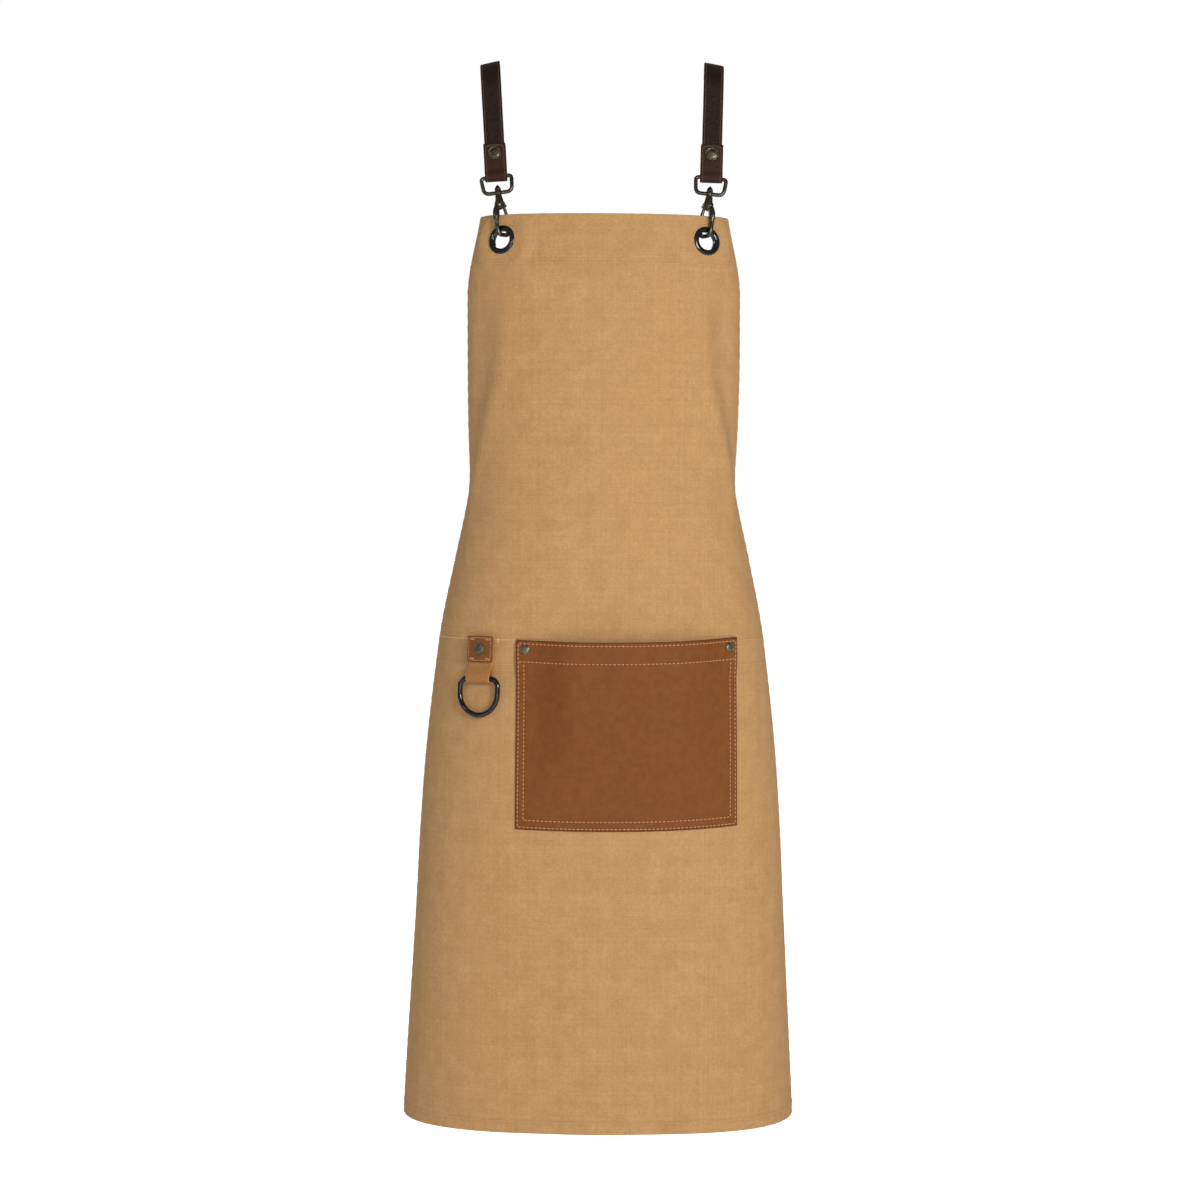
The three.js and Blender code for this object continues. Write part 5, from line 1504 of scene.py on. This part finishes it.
def addStrap(name, side):
    place = strapFrame(name)
    chainUp = Vector(joints[f"{name}_swivel"]["axis"]).normalized()
    bend = strap["shoulder"] + strap["thickness"] / 2
    end = place.inverted() @ Vector(mounts[f"{name}_strap_cut_end"]["pos_m"])
    turn = math.pi / 2 - math.asin(chainUp.y) + math.radians(strap["fall"])
    centreZ = end.z - bend * math.sin(turn) - strap["tail"] * math.cos(turn)
    start = loop["wire"] + strap["ease"] + clearance
    path = [(0, 0, z) for z in np.linspace(start, centreZ, 40)[:-1]]
    path += [(0, bend - bend * math.cos(a), centreZ + bend * math.sin(a)) for a in np.linspace(0, turn, 40)]
    last = path[-1]
    path += [(0, last[1] + t * math.sin(turn), last[2] + t * math.cos(turn))
             for t in np.linspace(0, strap["tail"], 10)[1:]]
    across, out, up, origin = axesOf(place)
    tilt = math.tan(math.radians(strap["crestTilt"]))

    # On the shoulder the strap's inner edge lies higher than its outer one, and its tail leans outwards
    def lieOnShoulder(points):
        local = (points - origin) @ np.array(place.to_3x3())
        share = easeIn((local[..., 2] - 0.03) / 0.07)
        points[..., 2] -= side * local[..., 0] * tilt * share
        return points + local[..., 1, None] * side * strap["tailLean"] * across

    section = strapSection(strap["width"], strap["thickness"], strap["creaseInset"], 0.00022)
    band = bandPiece(f"{name}ShoulderStrap", inFrame(place, path), across, section, strapLeather,
                     lieOnShoulder)
    attach(band, f"{name}_strap", f"{name}_strap")

    layers = strap["thickness"] / 2 + panelShape["gap"]
    fold = foldPath(loop["wire"] + strap["ease"], strap["endLeather"], strap["endTop"], -layers, layers,
                    strap["pinch"])
    section = strapSection(strap["endWidth"], strap["endLeather"], strap["creaseInset"], 0.00016)
    foldedEnd = bandPiece(f"{name}StrapEnd", inFrame(place, [(0, y, z) for y, z in fold]), across, section,
                          strapEndLeather)
    attach(foldedEnd, f"{name}_strap", f"{name}_strap_end")

    face = layers + strap["endLeather"] + panelShape["gap"] / 2
    back = -face - strap["studBackHeight"]
    front = frameOf(origin + up * strap["stud"], across, up, -out)
    radius, high, post = strap["studRadius"], strap["studHeight"], strap["studPost"]
    profile = [
        (0, back), (post, back), (post, face), (0.96 * radius, face),
        (radius, face + 0.3 * high), (0.93 * radius, face + 0.78 * high), (0.84 * radius, face + 0.82 * high),
        (0.76 * radius, face + 0.6 * high), *domeProfile(0.72 * radius, face + 0.62 * high, 0.38 * high, 8),
    ]
    stud = turnedPiece(f"{name}Stud", profile, front, studMetal)
    ring = ringProfile(post + clearance, strap["studBack"], back, -face)
    backCap = turnedPiece(f"{name}StudBack", ring, front, antiqueMetal, closed=True)
    attach(stud, f"{name}_strap", f"{name}_strap_stud")
    attach(backCap, f"{name}_strap", f"{name}_strap_stud_back")
    addStrapStitching(name, place, layers + strap["endLeather"])


# An arc of stitches over the stud, on the folded end's front and back
def addStrapStitching(name, place, face):
    half, top, count = strap["endWidth"] / 2 - 0.003, strap["endTop"] - 0.0012, strap["stitches"]
    out = np.array(place.col[1].xyz)
    rows = []
    for way in (-1, 1):
        shares = -1 + 2 * (np.arange(count)[:, None] + (0.12, 0.88)) / count
        points = np.stack(np.broadcast_arrays(half * shares, way * face, top - 0.0016 * shares ** 2), -1)
        starts, ends = inFrame(place, points).transpose(1, 0, 2)
        rows.append((starts, ends, np.tile(out * way, (count, 1))))
    piece = sewnPiece(f"{name}StrapStitching", rows, strap["thread"], strapThread)
    attach(piece, f"{name}_strap")


# Stage

studio = {
    "camera": (0.0, -2.5327, -0.4152), "tiltDown": 1.127, "roll": 0.40, "lens": 78.9,
    "shift": (-0.0017, -0.04), "floorDrop": 0.16, "floorReach": 30, "floorGlow": 0.2, "sky": 0.24,
}


def addStudio():
    camera = bpy.data.objects.new("camera", bpy.data.cameras.new("camera"))
    camera.data.lens = studio["lens"]
    camera.data.sensor_width = 36
    camera.data.shift_x, camera.data.shift_y = studio["shift"]
    camera.data.clip_end = 50
    camera.location = studio["camera"]
    level = Matrix.Rotation(math.radians(90 - studio["tiltDown"]), 4, "X")
    camera.rotation_euler = (level @ Matrix.Rotation(math.radians(studio["roll"]), 4, "Z")).to_euler()
    bpy.context.scene.collection.objects.link(camera)
    bpy.context.scene.camera = camera

    floorLevel = cadBounds[0].z - studio["floorDrop"]
    floorMaterial, tree, shader, coords = newMaterial("paleFloor")
    grit = noise(tree, coords["Object"], 6.0, 2.0, 0.5)
    connect(tree, blendColour(tree, grit, colour(247, 247, 247), colour(252, 252, 252)), shader["Base Color"])
    shader["Roughness"].default_value = 0.85
    shader["Emission Color"].default_value = (1, 1, 1, 1)
    seen = addNode(tree, "LightPath").outputs["Is Camera Ray"]
    connect(tree, spread(tree, seen, 0.0, 1.0, studio["floorGlow"], 1.0), shader["Emission Strength"])
    reach = studio["floorReach"]
    points = [(x * reach, y * reach, floorLevel) for x, y in ((-1, -1), (1, -1), (1, 1), (-1, 1))]
    floor = makeMesh("floor", points, [np.array([[0, 1, 2, 3]])], floorMaterial)

    world = bpy.data.worlds.new("studio")
    bpy.context.scene.world = world
    world.use_nodes = True
    tree = world.node_tree
    sky = tree.nodes["Background"]
    seen = addNode(tree, "LightPath").outputs["Is Camera Ray"]
    tree.links.new(spread(tree, seen, 0.0, 1.0, studio["sky"], 1.0), sky.inputs["Strength"])
    sky.inputs["Color"].default_value = (1, 1, 1, 1)

    middle = (cadBounds[0] + cadBounds[1]) / 2
    lamps = {
        "keyLight": {"place": (1.0, -2.1, 0.6), "power": 29, "size": 0.8},
        "frontLight": {"place": (-0.1, -3.2, -0.1), "power": 12, "size": 1.6},
        "stripLight": {"place": (-1.3, -1.7, 0.9), "power": 2.5, "size": 0.3},
        "rimLight": {"place": (-1.6, 0.9, 0.7), "power": 4, "size": 0.8},
        "backLight": {"place": (0.5, 2.8, 0.6), "power": 20, "size": 1.6},
    }
    for name, lamp in lamps.items():
        light = bpy.data.lights.new(name, "AREA")
        light.shape = "DISK"
        light.size = lamp["size"]
        light.energy = lamp["power"]
        holder = bpy.data.objects.new(name, light)
        holder.location = middle + Vector(lamp["place"])
        holder.rotation_euler = (middle - holder.location).to_track_quat("-Z", "Y").to_euler()
        bpy.context.scene.collection.objects.link(holder)
    bpy.context.scene.view_settings.view_transform = "Standard"


addStudio()
addCloth()
print("cloth made")
addPocket()
addPocketStitching()
addPocketRivets()
addTab()
addCanvasStitching()
addEyelets()
print("pocket, tab and eyelets made")
for name, side in sides.items():
    addHook(name)
    addLoop(name)
    addStrap(name, side)
print("hooks and straps made")
